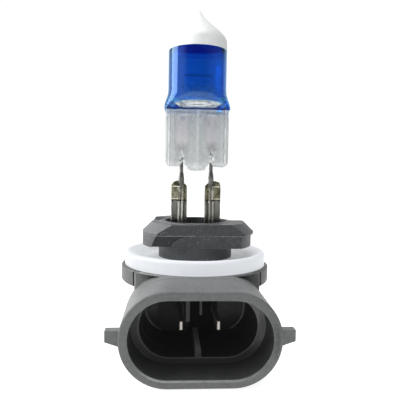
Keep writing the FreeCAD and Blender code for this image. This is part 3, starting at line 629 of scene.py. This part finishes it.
def strip_mat(name):
    """Folded terminal strip: dark flats, two drawn ridges with painted highlight lines, heat-stained crimp at the top.
    """
    k = Mat(name)
    k.b.inputs["Metallic"].default_value = 1.0
    x, y, z = k.xyz()
    u = k.math("SUBTRACT", k.math("DIVIDE", k.math("ABSOLUTE", x), MM), 3.05)
    zz = k.math("DIVIDE", z, MM)
    streak = k.noise(2100.0, 5.0, 0.65, (1.0, 1.0, 0.05))
    blot = k.noise(1100.0, 5.0, 0.7)
    edge = k.math("MULTIPLY", k.math("SUBTRACT", blot, 0.5), 0.22)
    uu = k.math("ADD", u, edge)
    band = lambda at, w, soft: k.range(k.math("ABSOLUTE", k.math("SUBTRACT", uu, at)), w, w + soft, 1.0, 0.0)
    below = k.range(zz, 7.95, 7.75, 0.0, 1.0)
    flat = k.ramp(streak, [(0.34, (0.10, 0.10, 0.088)), (0.66, (0.20, 0.20, 0.182))])
    # painted highlights on the two ridges, brighter on the left post
    ridge = k.mix(k.range(x, 1.0 * MM, 2.0 * MM, 0.0, 1.0), (0.66, 0.66, 0.60), (0.44, 0.44, 0.39))
    lines = k.math("MAXIMUM", band(-0.60, 0.12, 0.10), band(0.04, 0.14, 0.10))
    lines = k.math("MULTIPLY", lines, k.range(k.noise(900.0, 5.0, 0.7, (1.0, 1.0, 0.4)), 0.34, 0.52, 0.55, 1.0))
    col = k.mix(k.math("MULTIPLY", lines, below), flat, ridge)
    # outer flat is a little lighter than the inner one
    col = k.mix(k.math("MULTIPLY", k.range(u, 0.35, 0.55, 0.0, 0.45), below), col, (0.24, 0.24, 0.225))
    # upper half: olive stain, grey weld seam, painted highlights on the rims, stronger on the left post
    up = k.range(zz, 7.85, 8.0, 0.0, 1.0)
    stain = k.ramp(blot, [(0.36, (0.070, 0.070, 0.034)), (0.50, (0.15, 0.148, 0.095)), (0.64, (0.36, 0.35, 0.26))])
    col = k.mix(up, col, stain)
    weld = k.math("MULTIPLY", k.range(k.math("ABSOLUTE", k.math("ADD", uu, 0.32)), 0.22, 0.42, 1.0, 0.0), k.math("MULTIPLY", up, k.range(zz, 10.9, 10.2, 0.0, 0.8)))
    col = k.mix(weld, col, k.ramp(blot, [(0.36, (0.22, 0.21, 0.19)), (0.62, (0.60, 0.57, 0.53))]))
    rim = k.math("MULTIPLY", k.range(k.math("ABSOLUTE", k.math("SUBTRACT", zz, 10.36)), 0.06, 0.12, 1.0, 0.0), k.range(u, -0.35, -0.15, 0.0, 0.9))
    rim = k.math("MAXIMUM", rim, k.math("MULTIPLY", k.range(k.math("ABSOLUTE", k.math("SUBTRACT", zz, 8.16)), 0.05, 0.12, 0.75, 0.0),
                                        k.math("MULTIPLY", k.range(u, 0.1, 0.3, 0.0, 1.0), k.range(blot, 0.40, 0.55, 0.3, 1.0))))
    rim = k.math("MULTIPLY", rim, k.math("MULTIPLY", k.range(x, 1.0 * MM, 2.0 * MM, 1.0, 0.62), k.range(k.noise(1600.0, 4.0, 0.6), 0.36, 0.50, 0.45, 1.0)))
    col = k.mix(rim, col, (0.97, 0.96, 0.88))
    # painted shade line under the lower edge of the crimp wing
    gap = k.math("MULTIPLY", k.range(k.math("ABSOLUTE", k.math("SUBTRACT", zz, 7.86)), 0.05, 0.14, 1.0, 0.0), k.range(blot, 0.36, 0.55, 0.45, 1.0))
    col = k.mix(gap, col, (0.035, 0.036, 0.028))
    k.link(col, k.b.inputs["Base Color"])
    k.link(k.range(streak, 0.3, 0.7, 0.24, 0.44), k.b.inputs["Roughness"])
    k.link(k.bump(k.math("ADD", streak, blot), 0.25, 0.00004), k.b.inputs["Normal"])
    return k.m


def blade_mat(name):
    """Tinned copper blade: bright at the cut end, painted dull and dark along the faces as painted shade deep in the
    socket.
    """
    k = Mat(name)
    y = k.xyz()[1]
    streak = k.noise(1800.0, 5.0, 0.6, (1.0, 0.08, 1.0))
    tipb = k.range(y, -13.55 * MM, -13.75 * MM, 0.0, 1.0)
    dull = k.ramp(streak, [(0.35, (0.090, 0.088, 0.085)), (0.65, (0.13, 0.128, 0.122))])
    bright = k.ramp(streak, [(0.35, (0.40, 0.37, 0.34)), (0.65, (0.54, 0.50, 0.46))])
    k.link(k.mix(tipb, dull, bright), k.b.inputs["Base Color"])
    k.link(k.range(tipb, 0.0, 1.0, 0.15, 1.0), k.b.inputs["Metallic"])
    # faint painted glow on the faces deep in the socket
    k.b.inputs["Emission Color"].default_value = (1.0, 0.99, 0.97, 1.0)
    k.link(k.range(tipb, 0.0, 1.0, 0.0050, 0.0), k.b.inputs["Emission Strength"])
    k.link(k.range(streak, 0.3, 0.7, 0.34, 0.50), k.b.inputs["Roughness"])
    k.link(k.bump(streak, 0.15, 0.00003), k.b.inputs["Normal"])
    return k.m


M = {
    "cap_inside": cap_inside_mat("cap_inside"),
    "plastic": plastic("moulded_grey_plastic", (0.092, 0.096, 0.098), (0.124, 0.128, 0.130), zones=True),
    "compound": plastic("sealing_resin", (0.012, 0.014, 0.013), (0.024, 0.025, 0.024), rough=0.38, grain=0.6),
    "silicone": silicone("white_silicone"),
    "quartz": quartz_mat("fused_quartz"),
    "blue": coat_mat("blue_filter_film", (0.175, 0.490, 0.80)),
    "cap": cap_mat("white_cap_paint"),
    "tungsten": metal("tungsten_wire", (0.30, 0.30, 0.33), (0.14, 0.14, 0.16), 0.4, 0.4, (0.2, 1, 1), 3000.0),
    "moly": metal("molybdenum_wire", (0.95, 0.95, 0.95), (0.85, 0.85, 0.86), 0.4, 0.45),
    "foil": metal("molybdenum_foil", (0.92, 0.89, 0.91), (0.80, 0.76, 0.79), 0.5, 0.55, (1, 1, 0.3), 900.0),
    "lead": metal("lead_wire_nickel", (0.24, 0.245, 0.24), (0.10, 0.10, 0.09), 0.6, 0.30, (1, 1, 0.2), 3000.0),
    "sleeve": metal("sleeve_nickel", (0.27, 0.27, 0.265), (0.12, 0.12, 0.10), 0.6, 0.32, (1, 1, 0.2), 3000.0),
    "post": strip_mat("terminal_strip"),
    "blade": blade_mat("blade_tinned"),
}


def dress(obj, key):
    obj.data.materials.clear()
    obj.data.materials.append(M[key])
    return obj


def piece(obj, key, slot, *cad):
    dress(obj, key)
    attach(obj, "root")
    if cad:
        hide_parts(*cad)
    return obj


# ------------------------------------------------------------------ capsule
DOME = [(0.0, 41.83), (0.36, 41.66), (0.68, 41.2), (1.2, 40.52), (1.9, 39.83), (2.65, 39.13),
        (3.4, 38.5), (4.1, 37.86), (4.65, 37.3), (5.0, 36.8), (5.17, 36.25), (5.22, 35.4)]
CAP_Z, FILTER_Z0, CYL_Z0 = 34.6, 24.05, 27.7
FLARE_R = [(5.22, 27.7), (5.3, 26.9), (5.55, 26.1), (5.88, 25.2), (5.94, 24.5), (5.75, 23.8), (5.73, 23.2)]
FLARE_Y = [(5.22, 27.7), (5.2, 26.7), (5.05, 26.0), (4.65, 25.25), (3.85, 24.65), (2.9, 24.15), (2.25, 23.7), (1.9, 23.2), (1.85, 22.6)]

# half outline of the press seal at +Y, from +X to -X, with the matching angle on a circle
SEAL = [(5.73, 0.0), (5.73, 0.75), (5.70, 1.25), (5.58, 1.62), (5.35, 1.82), (5.05, 1.84), (4.82, 1.70), (4.66, 1.48),
        (4.45, 1.37), (4.1, 1.345), (3.6, 1.34), (3.1, 1.34), (2.6, 1.34), (2.1, 1.34), (1.6, 1.34), (1.15, 1.345),
        (0.75, 1.36), (0.45, 1.42), (0.22, 1.48), (0.0, 1.50)]
half = SEAL + [(-x, y) for x, y in reversed(SEAL[:-1])]
full = half + [(x, -y) for x, y in reversed(half[1:-1])]
N = len(full)


def tube_ring(z, inset=0.0):
    """One closed row of points round the capsule or seal at height z, in mm."""
    m = ease((25.4 - z) / 2.0)
    a = table_at(FLARE_R, z) - inset
    b = table_at(FLARE_Y, z) - inset
    pts = []
    for k, (px, py) in enumerate(full):
        t = 2 * math.pi * k / N
        ux, uy = math.cos(t), math.sin(t)
        pts.append((a * lerp(ux, px / 5.73, m), b * lerp(uy, py / 1.85, m)))
    return pts


def refine(ring, per=3):
    """Round off the row of points with a closed Catmull-Rom curve."""
    n = len(ring)
    out = []
    for i in range(n):
        p0, p1, p2, p3 = ring[i - 1], ring[i], ring[(i + 1) % n], ring[(i + 2) % n]
        for k in range(per):
            t = k / per
            out.append(tuple(0.5 * ((2 * p1[d]) + (-p0[d] + p2[d]) * t + (2 * p0[d] - 5 * p1[d] + 4 * p2[d] - p3[d]) * t * t
                             + (-p0[d] + 3 * p1[d] - 3 * p2[d] + p3[d]) * t ** 3) for d in range(2)))
    return out


def foot_z(x):
    """Height of the seal's lower edge: a foot each side and a longer middle tongue."""
    ax = abs(x)
    if ax < 1.75:
        return 13.25 + 0.35 * (ax / 1.75) ** 4
    notch = math.exp(-((ax - 2.5) / 0.42) ** 2)
    return 13.95 + 0.85 * notch + 0.55 * max(0.0, (ax - 4.9) / 0.83) ** 2


def quartz_envelope():
    bm = bmesh.new()
    inset = 0.10
    rows = []
    kr = 1 - inset / 5.22
    dome = spline_points(DOME, 5)
    apex = bm.verts.new(V(0, 0, 41.83 - inset))
    n = N * 3
    for r, z in dome[1:]:
        zz = CYL_Z0 + (z - CYL_Z0) * (1 - inset / 14.1)
        rows.append([bm.verts.new(V(r * kr * math.cos(2 * math.pi * k / n), r * kr * math.sin(2 * math.pi * k / n), zz))
                     for k in range(n)])
    zs = [34.0, 32.0, 30.0, 28.5]
    z = 27.7
    while z > 22.3:
        zs.append(z)
        z -= 0.18
    zs += [21.5, 20.5, 19.5, 18.5, 17.5, 16.8, 16.2, 15.7]
    for z in zs:
        rows.append([bm.verts.new(V(x, y, z)) for x, y in refine(tube_ring(z, inset if z > 23.0 else inset * 0.3))])
    # last rows follow the shaped foot, drawn in to round its edge
    base = refine(tube_ring(15.0, inset * 0.3))
    for w, pull in ((0.35, 0.0), (0.7, 0.01), (0.88, 0.06), (0.97, 0.16), (1.0, 0.34)):
        row = []
        for x, y in base:
            zf = foot_z(x)
            row.append(bm.verts.new(V(x - math.copysign(min(abs(x), pull * 0.6), x) * (abs(x) / 5.73) ** 6,
                                      y * (1 - pull), lerp(15.7, zf, w))))
        rows.append(row)
    for k in range(n):
        bm.faces.new((apex, rows[0][k], rows[0][(k + 1) % n]))
    for a, b in zip(rows, rows[1:]):
        for k in range(n):
            j = (k + 1) % n
            bm.faces.new((a[k], b[k], b[j], a[j]))
    # close the foot between its front and back edges
    last = rows[-1]
    for k in range(n // 2):
        a, b = last[k], last[(k + 1) % n]
        c, d = last[(n - k - 1) % n], last[(n - k) % n]
        vs = []
        for v in (a, b, c, d):
            if v not in vs:
                vs.append(v)
        if len(vs) >= 3:
            bm.faces.new(vs)
    bmesh.ops.recalc_face_normals(bm, faces=bm.faces)
    # gas space: same mesh, walls facing inwards
    cav = spline_points([(0.0, 39.6), (1.2, 39.0), (2.5, 37.95), (3.6, 36.9), (4.4, 35.9), (4.85, 34.6)], 4)
    cav += [(4.93, 33.0), (4.95, 31.0), (4.95, 28.4)]
    cav += spline_points([(4.95, 27.2), (4.93, 26.5), (4.86, 26.0), (4.66, 25.66), (4.3, 25.52), (3.2, 25.46), (1.6, 25.38), (0.0, 25.36)], 4)
    m = 96
    rows = []
    for r, z in cav:
        if r < 1e-6:
            rows.append([bm.verts.new(V(0, 0, z))] * m)
        else:
            rows.append([bm.verts.new(V(r * math.cos(2 * math.pi * k / m), r * math.sin(2 * math.pi * k / m), z)) for k in range(m)])
    for a, b in zip(rows, rows[1:]):
        for k in range(m):
            j = (k + 1) % m
            vs = []
            for v in (a[k], a[j], b[j], b[k]):
                if v not in vs:
                    vs.append(v)
            f = bm.faces.new(vs)
    mesh = bpy.data.meshes.new("quartz_bulb")
    bm.normal_update()
    bm.to_mesh(mesh)
    bm.free()
    return link(bpy.data.objects.new("quartz_bulb", mesh))


q = quartz_envelope()
smooth(q, 50)
piece(q, "quartz", "quartz", "quartz_envelope")


def film_shell():
    """Blue film as a closed thin skin over the wall and the shoulder."""
    bm = bmesh.new()
    n = N * 3
    zs = [CAP_Z + 0.02, 33.0, 31.0, 29.0, 28.2]
    z = 27.7
    while z > FILTER_Z0 + 0.05:
        zs.append(z)
        z -= 0.18
    zs.append(FILTER_Z0)
    outer, inner = [], []
    for z in zs:
        outer.append([bm.verts.new(V(x, y, z)) for x, y in refine(tube_ring(z, 0.0))])
        inner.append([bm.verts.new(V(x, y, z)) for x, y in refine(tube_ring(z, 0.05))])
    for rows, flip in ((outer, False), (inner, True)):
        for a, b in zip(rows, rows[1:]):
            for k in range(n):
                j = (k + 1) % n
                f = (a[k], b[k], b[j], a[j])
                bm.faces.new(f[::-1] if flip else f)
    for a, b in ((outer[0], inner[0]), (inner[-1], outer[-1])):
        for k in range(n):
            j = (k + 1) % n
            bm.faces.new((a[k], a[j], b[j], b[k]))
    return bm_obj("blue_film", bm, 50)


piece(film_shell(), "blue", "blue_filter", "blue_filter_coating")

cap_out = spline_points(DOME, 5) + [(5.225, CAP_Z + 0.35), (5.225, CAP_Z + 0.03), (5.205, CAP_Z)]
cap_in = [(5.15, CAP_Z), (5.15, 35.4)] + [(r * 0.9866, CYL_Z0 + (z - CYL_Z0) * 0.9952) for r, z in reversed(spline_points(DOME, 5)[:-1])]
cap = lathe("white_cap", cap_out + cap_in, 160)
piece(cap, "cap", "white_cap", "tip_cap_coating")
cap.data.materials.append(M["cap_inside"])
for f in cap.data.polygons:
    c = f.center
    if f.normal.dot(Vector((c.x, c.y, 0.0))) < -1e-7 or (f.normal.z < -0.2 and c.z > (CAP_Z + 0.3) * MM):
        f.material_index = 1


# --------------------------------------------------------------- filament
def tube_along(name, pts, radius, sides=12, caps=True):
    """Round wire through pts (mm) with parallel-transported rings."""
    P = [V(*p) for p in pts]
    verts, faces, rows = [], [], []
    up = Vector((0, 0, 1))
    t0 = (P[1] - P[0]).normalized()
    nrm = t0.orthogonal().normalized()
    for i, p in enumerate(P):
        a = P[max(i - 1, 0)]
        b = P[min(i + 1, len(P) - 1)]
        t = (b - a).normalized()
        nrm = (nrm - t * nrm.dot(t)).normalized()
        bi = t.cross(nrm)
        r = radius(i / (len(P) - 1)) if callable(radius) else radius
        row = []
        for k in range(sides):
            g = 2 * math.pi * k / sides
            row.append(len(verts))
            verts.append(p + (nrm * math.cos(g) + bi * math.sin(g)) * r * MM)
        rows.append(row)
    for a, b in zip(rows, rows[1:]):
        for k in range(sides):
            j = (k + 1) % sides
            faces.append((a[k], a[j], b[j], b[k]))
    if caps:
        faces.append(tuple(reversed(rows[0])))
        faces.append(tuple(rows[-1]))
    return mesh_obj(name, verts, faces, 60)


FIL_Z = 30.4
coil = [(-2.5, 0.0, FIL_Z - 0.20)]
turns, steps = 30, 12
for i in range(turns * steps + 1):
    t = i / steps * 2 * math.pi
    x = -2.32 + 4.64 * i / (turns * steps)
    coil.append((x, 0.22 * math.sin(t + math.pi), FIL_Z + 0.22 * math.cos(t + math.pi)))
coil.append((2.5, 0.0, FIL_Z - 0.20))
piece(tube_along("coiled_filament", coil, 0.019, 7), "tungsten", "tungsten", "filament_coil")

for name, s in (("left", -1), ("right", 1)):
    pts = [(s * 2.7, 0, 22.4), (s * 2.7, 0, 25.0), (s * 2.72, 0, 27.5), (s * 2.7, 0, 29.8), (s * 2.66, 0, 30.3), (s * 2.58, 0, 30.62)]
    leg = tube_along("filament_wire_" + name, spline_points(pts, 5), 0.055, 12)
    piece(leg, "moly", "molybdenum", "filament_leg_" + name)


def foil(name, s):
    """Lens-thin foil with a slight ripple and feathered side edges."""
    bm = bmesh.new()
    nx, nz = 14, 36
    front, back = [], []
    for j in range(nz + 1):
        z = 16.9 + 6.2 * j / nz
        fr, bk = [], []
        for i in range(nx + 1):
            u = -1 + 2 * i / nx
            x = s * 2.7 + u * 0.99
            ripple = 0.035 * math.sin(z * 4.1 + u * 1.3) * math.sin(z * 1.7 + s)
            th = 0.004 + 0.026 * math.sqrt(max(0.0, 1 - u * u))
            fr.append(bm.verts.new(V(x, ripple - th, z)))
            bk.append(bm.verts.new(V(x, ripple + th, z)))
        front.append(fr)
        back.append(bk)
    for rows, flip in ((front, False), (back, True)):
        for a, b in zip(rows, rows[1:]):
            for i in range(nx):
                f = (a[i], a[i + 1], b[i + 1], b[i])
                bm.faces.new(f[::-1] if flip else f)
    for j in range(nz):
        bm.faces.new((front[j][0], front[j + 1][0], back[j + 1][0], back[j][0]))
        bm.faces.new((front[j][-1], back[j][-1], back[j + 1][-1], front[j + 1][-1]))
    for row in (0, -1):
        for i in range(nx):
            bm.faces.new((front[row][i], back[row][i], back[row][i + 1], front[row][i + 1]))
    return bm_obj("sealing_foil_" + name, bm, 60)


def post(name, s):
    """Folded terminal strip. In the local frame u runs outwards from the lamp axis, so both posts share one shape."""
    x0 = s * 3.05
    front = [(-1.45, 0.10), (-1.42, -0.22), (-1.30, -0.43), (-1.10, -0.50), (-0.98, -0.44), (-0.93, -0.34), (-0.87, -0.34),
             (-0.80, -0.50), (-0.66, -0.66), (-0.46, -0.70), (-0.30, -0.60), (-0.24, -0.44), (-0.18, -0.44),
             (-0.12, -0.60), (0.04, -0.71), (0.24, -0.66), (0.36, -0.50), (0.40, -0.32), (0.50, -0.30), (0.80, -0.33),
             (1.10, -0.36), (1.25, -0.44), (1.36, -0.46), (1.44, -0.36), (1.46, -0.10)]
    ring = [(u, v) for u, v in front] + [(1.44, 0.30), (1.30, 0.50), (1.0, 0.55), (0.0, 0.56), (-1.0, 0.55), (-1.32, 0.46)]
    n = len(ring)
    bm = bmesh.new()

    def row(z, squeeze=1.0, shift=0.0, sink=0.0, flat=0.0):
        out = []
        for u, v in ring:
            vv = v * (1 - flat) + (-0.40 if v < 0 else 0.45) * flat
            out.append(bm.verts.new(V(x0 + s * (u * squeeze + shift), vv + sink, z)))
        return out

    wob = lambda z: 0.018 * math.sin(z * 2.3 + s) + 0.012 * math.sin(z * 5.9)
    rows = [row(-3.9, 0.62, 0, 0), row(-0.6, 0.62, 0, 0), row(0.0, 0.8, 0, 0), row(0.5, 0.97, 0, 0)]
    z = 0.9
    while z < 7.5:
        rows.append(row(z, 1.0 + 0.25 * wob(z), wob(z), 0.0))
        z += 0.45
    rows += [row(7.7, 1.0, 0, 0.0, 0.1), row(7.85, 1.0, 0, 0.02, 0.55), row(8.1, 0.995, 0, 0.02, 0.75), row(9.0, 0.99, 0.0, 0.0, 0.7),
             row(10.0, 0.985, 0.01, 0.0, 0.75), row(10.5, 0.97, 0.02, 0.02, 0.8), row(10.75, 0.86, 0.10, 0.05, 0.85),
             row(11.05, 0.66, 0.20, 0.07, 0.9), row(11.3, 0.44, 0.10, 0.08, 0.95), row(11.38, 0.36, 0.05, 0.10, 0.95)]
    for a, b in zip(rows, rows[1:]):
        for i in range(n):
            j = (i + 1) % n
            bm.faces.new((a[i], a[j], b[j], b[i]))
    bm.faces.new(rows[0][::-1])
    bm.faces.new(rows[-1])

    def shell(sec, z0, z1, bow=0.0, top_drop=0.0, steps=8):
        """Closed bar with the section sec [(u, v)], from z0 to z1."""
        rs = []
        m = len(sec)
        cu = sum(q[0] for q in sec) / m
        cv = sum(q[1] for q in sec) / m
        for i in range(steps + 1):
            t = i / steps
            e = min(t, 1 - t) * (z1 - z0)
            k = 1.0 - 0.10 * max(0.0, 1 - e / 0.10)
            z = lerp(z0, z1, t)
            rs.append([bm.verts.new(V(x0 + s * (cu + (u - cu) * k), cv + (v - cv) * k - bow * math.sin(math.pi * t),
                                      z - top_drop * t * max(0.0, (u - cu)))) for u, v in sec])
        for a, b in zip(rs, rs[1:]):
            for i in range(m):
                j = (i + 1) % m
                bm.faces.new((a[i], a[j], b[j], b[i]))
        bm.faces.new(rs[0][::-1])
        bm.faces.new(rs[-1])

    # crimp wing folded over the outer half, with a rolled inner edge
    shell([(1.42, -0.20), (1.44, -0.52), (1.36, -0.66), (1.15, -0.68), (0.75, -0.64), (0.42, -0.66), (0.20, -0.74),
           (0.05, -0.86), (-0.10, -0.88), (-0.24, -0.80), (-0.28, -0.62), (-0.18, -0.46), (0.0, -0.30), (0.6, -0.25)],
          7.95, 10.42, 0.0, 0.02)
    # flattened weld seam between the wing and the inner edge
    shell([(-0.34, -0.40), (-0.40, -0.60), (-0.62, -0.70), (-0.86, -0.62), (-0.96, -0.42), (-0.7, -0.30)], 7.75, 10.6, 0.05)
    # upturned ear at the outer top corner
    shell([(1.22, -0.30), (1.26, -0.55), (1.05, -0.72), (0.72, -0.74), (0.48, -0.62), (0.45, -0.38), (0.8, -0.2)],
          10.3, 11.28 if s > 0 else 11.05, 0.03, 0.25)
    return bm_obj("terminal_post_strip_" + name, bm, 34)


for name, s in (("left", -1), ("right", 1)):
    piece(foil(name, s), "foil", "foil", "molybdenum_foil_" + name)
    x = s * 2.7
    pts = [(x, 0.0, 17.6), (x, 0.0, 15.0), (x, 0.0, 12.8), (x, 0.0, 8.0)]
    lead = tube_along("lead_wire_" + name, spline_points(pts, 6), 0.33, 20)
    piece(lead, "lead", "lead_wire", "outer_lead_" + name)
    sl = lathe("sleeve_" + name, [(0.335, 12.9), (0.37, 12.94), (0.42, 12.7), (0.50, 12.2), (0.545, 11.7), (0.53, 11.5), (0.56, 11.3),
                                  (0.55, 10.4), (0.335, 10.4)], 32, closed=True)
    for v in sl.data.vertices:
        v.co.x += x * MM
    piece(sl, "sleeve", "nickel", "lead_sleeve_" + name)
    piece(post(name, s), "post", "terminal", "terminal_post_" + name)
    dress(nodes["connector_blade_" + name], "blade")

dress(nodes["base_housing"], "plastic")
dress(nodes["sealing_compound"], "compound")
dress(nodes["seal_ring"], "silicone")

for nm in ("base_housing", "seal_ring", "sealing_compound", "connector_blade_left", "connector_blade_right"):
    if nodes[nm].data.has_custom_normals:
        nodes[nm].data.normals_split_custom_set([(0.0, 0.0, 0.0)] * len(nodes[nm].data.loops))
        for a in list(nodes[nm].data.attributes):
            if a.name == "custom_normal":
                nodes[nm].data.attributes.remove(a)
for nm, ang in (("base_housing", 17), ("seal_ring", 40), ("sealing_compound", 30),
                ("connector_blade_left", 30), ("connector_blade_right", 30)):
    smooth(nodes[nm], ang)
for nm in ("base_housing", "seal_ring"):
    w = nodes[nm].modifiers.new("even_normals", "WEIGHTED_NORMAL")
    w.keep_sharp = True
    w.weight = 80

# ------------------------------------------------------- floor, light, camera
floor_z = cad_lo.z - 0.0002
bm = bmesh.new()
bmesh.ops.create_circle(bm, cap_ends=True, segments=96, radius=6.0)
floor = bm_obj("floor", bm)
floor.location = (0, 0, floor_z)
fm = Mat("pale_floor")
fm.b.inputs["Base Color"].default_value = (0.42, 0.42, 0.42, 1)
fm.b.inputs["Roughness"].default_value = 0.9
fm.b.inputs["Specular IOR Level"].default_value = 0.1
fm.b.inputs["Emission Color"].default_value = (1, 1, 1, 1)
fm.b.inputs["Emission Strength"].default_value = 0.86
floor.data.materials.append(fm.m)

world = bpy.data.worlds.new("studio")
scene.world = world
world.use_nodes = True
wt = world.node_tree
bg = wt.nodes["Background"]
tc = wt.nodes.new("ShaderNodeTexCoord")
sep = wt.nodes.new("ShaderNodeSeparateXYZ")
wt.links.new(tc.outputs["Generated"], sep.inputs[0])


def wmath(op, a, b):
    n = wt.nodes.new("ShaderNodeMath")
    n.operation = op
    for i, v in enumerate((a, b)):
        if isinstance(v, (int, float)):
            n.inputs[i].default_value = v
        else:
            wt.links.new(v, n.inputs[i])
    return n.outputs[0]


def wrange(v, a, b, c, d):
    n = wt.nodes.new("ShaderNodeMapRange")
    n.interpolation_type = "SMOOTHSTEP"
    for i, k in enumerate((a, b, c, d)):
        n.inputs[i + 1].default_value = k
    wt.links.new(v, n.inputs[0])
    return n.outputs[0]


back = wrange(sep.outputs[1], 0.40, 0.68, 0.0, 1.0)      # white wall behind the object
left = wrange(sep.outputs[0], -0.60, -0.98, 0.0, 0.80)    # bright on the left, dimmer on the right
right_w = wrange(sep.outputs[0], 0.35, 0.95, 0.0, 0.22)
above = wrange(sep.outputs[2], 0.25, 0.9, 0.0, 0.45)
strength = wmath("ADD", wmath("MULTIPLY", back, 1.02), wmath("MULTIPLY", wmath("SUBTRACT", 1.0, back),
                 wmath("ADD", 0.085, wmath("ADD", left, wmath("ADD", right_w, above)))))
wt.links.new(strength, bg.inputs["Strength"])
bg.inputs["Color"].default_value = (1.0, 1.0, 1.0, 1.0)


def area(name, loc, target, size, power, colour=(1, 1, 1), size_y=None):
    l = bpy.data.lights.new(name, "AREA")
    l.energy = power
    l.color = colour
    l.size = size
    if size_y:
        l.shape = "RECTANGLE"
        l.size_y = size_y
    o = link(bpy.data.objects.new(name, l))
    o.location = loc
    o.rotation_mode = "QUATERNION"
    o.rotation_quaternion = (Vector(target) - Vector(loc)).to_track_quat("-Z", "Y")
    return o


area("left_panel", (-0.40, 0.12, 0.10), (0, 0, 0.02), 0.27, 1.8, (1.0, 1.0, 1.0), 0.42)
area("key_left", (-0.36, -0.06, 0.30), (0, 0, 0.0), 0.22, 1.5, (1.0, 1.0, 1.0), 0.30)
area("top_soft", (0.02, -0.10, 0.45), (0, 0, 0.0), 0.36, 1.4)

cam = bpy.data.cameras.new("camera")
cam.lens = 43.2
cam.sensor_width = 36.0
cam.clip_start = 0.004
cam.clip_end = 30.0
cam_o = link(bpy.data.objects.new("camera", cam))
pan, pitch, roll = 0.06351, 0.05988, 0.01582
fwd = Vector((math.sin(pan) * math.cos(pitch), math.cos(pan) * math.cos(pitch), -math.sin(pitch)))
right = Vector((math.cos(pan), -math.sin(pan), 0.0))
up = right.cross(fwd)
r2 = right * math.cos(roll) + up * math.sin(roll)
u2 = up * math.cos(roll) - right * math.sin(roll)
mat = Matrix(((r2.x, u2.x, -fwd.x, -4.784 * MM), (r2.y, u2.y, -fwd.y, -87.61 * MM), (r2.z, u2.z, -fwd.z, 13.162 * MM), (0, 0, 0, 1)))
cam_o.matrix_world = mat
scene.camera = cam_o
scene.view_settings.view_transform = "Standard"
scene.view_settings.look = "None"
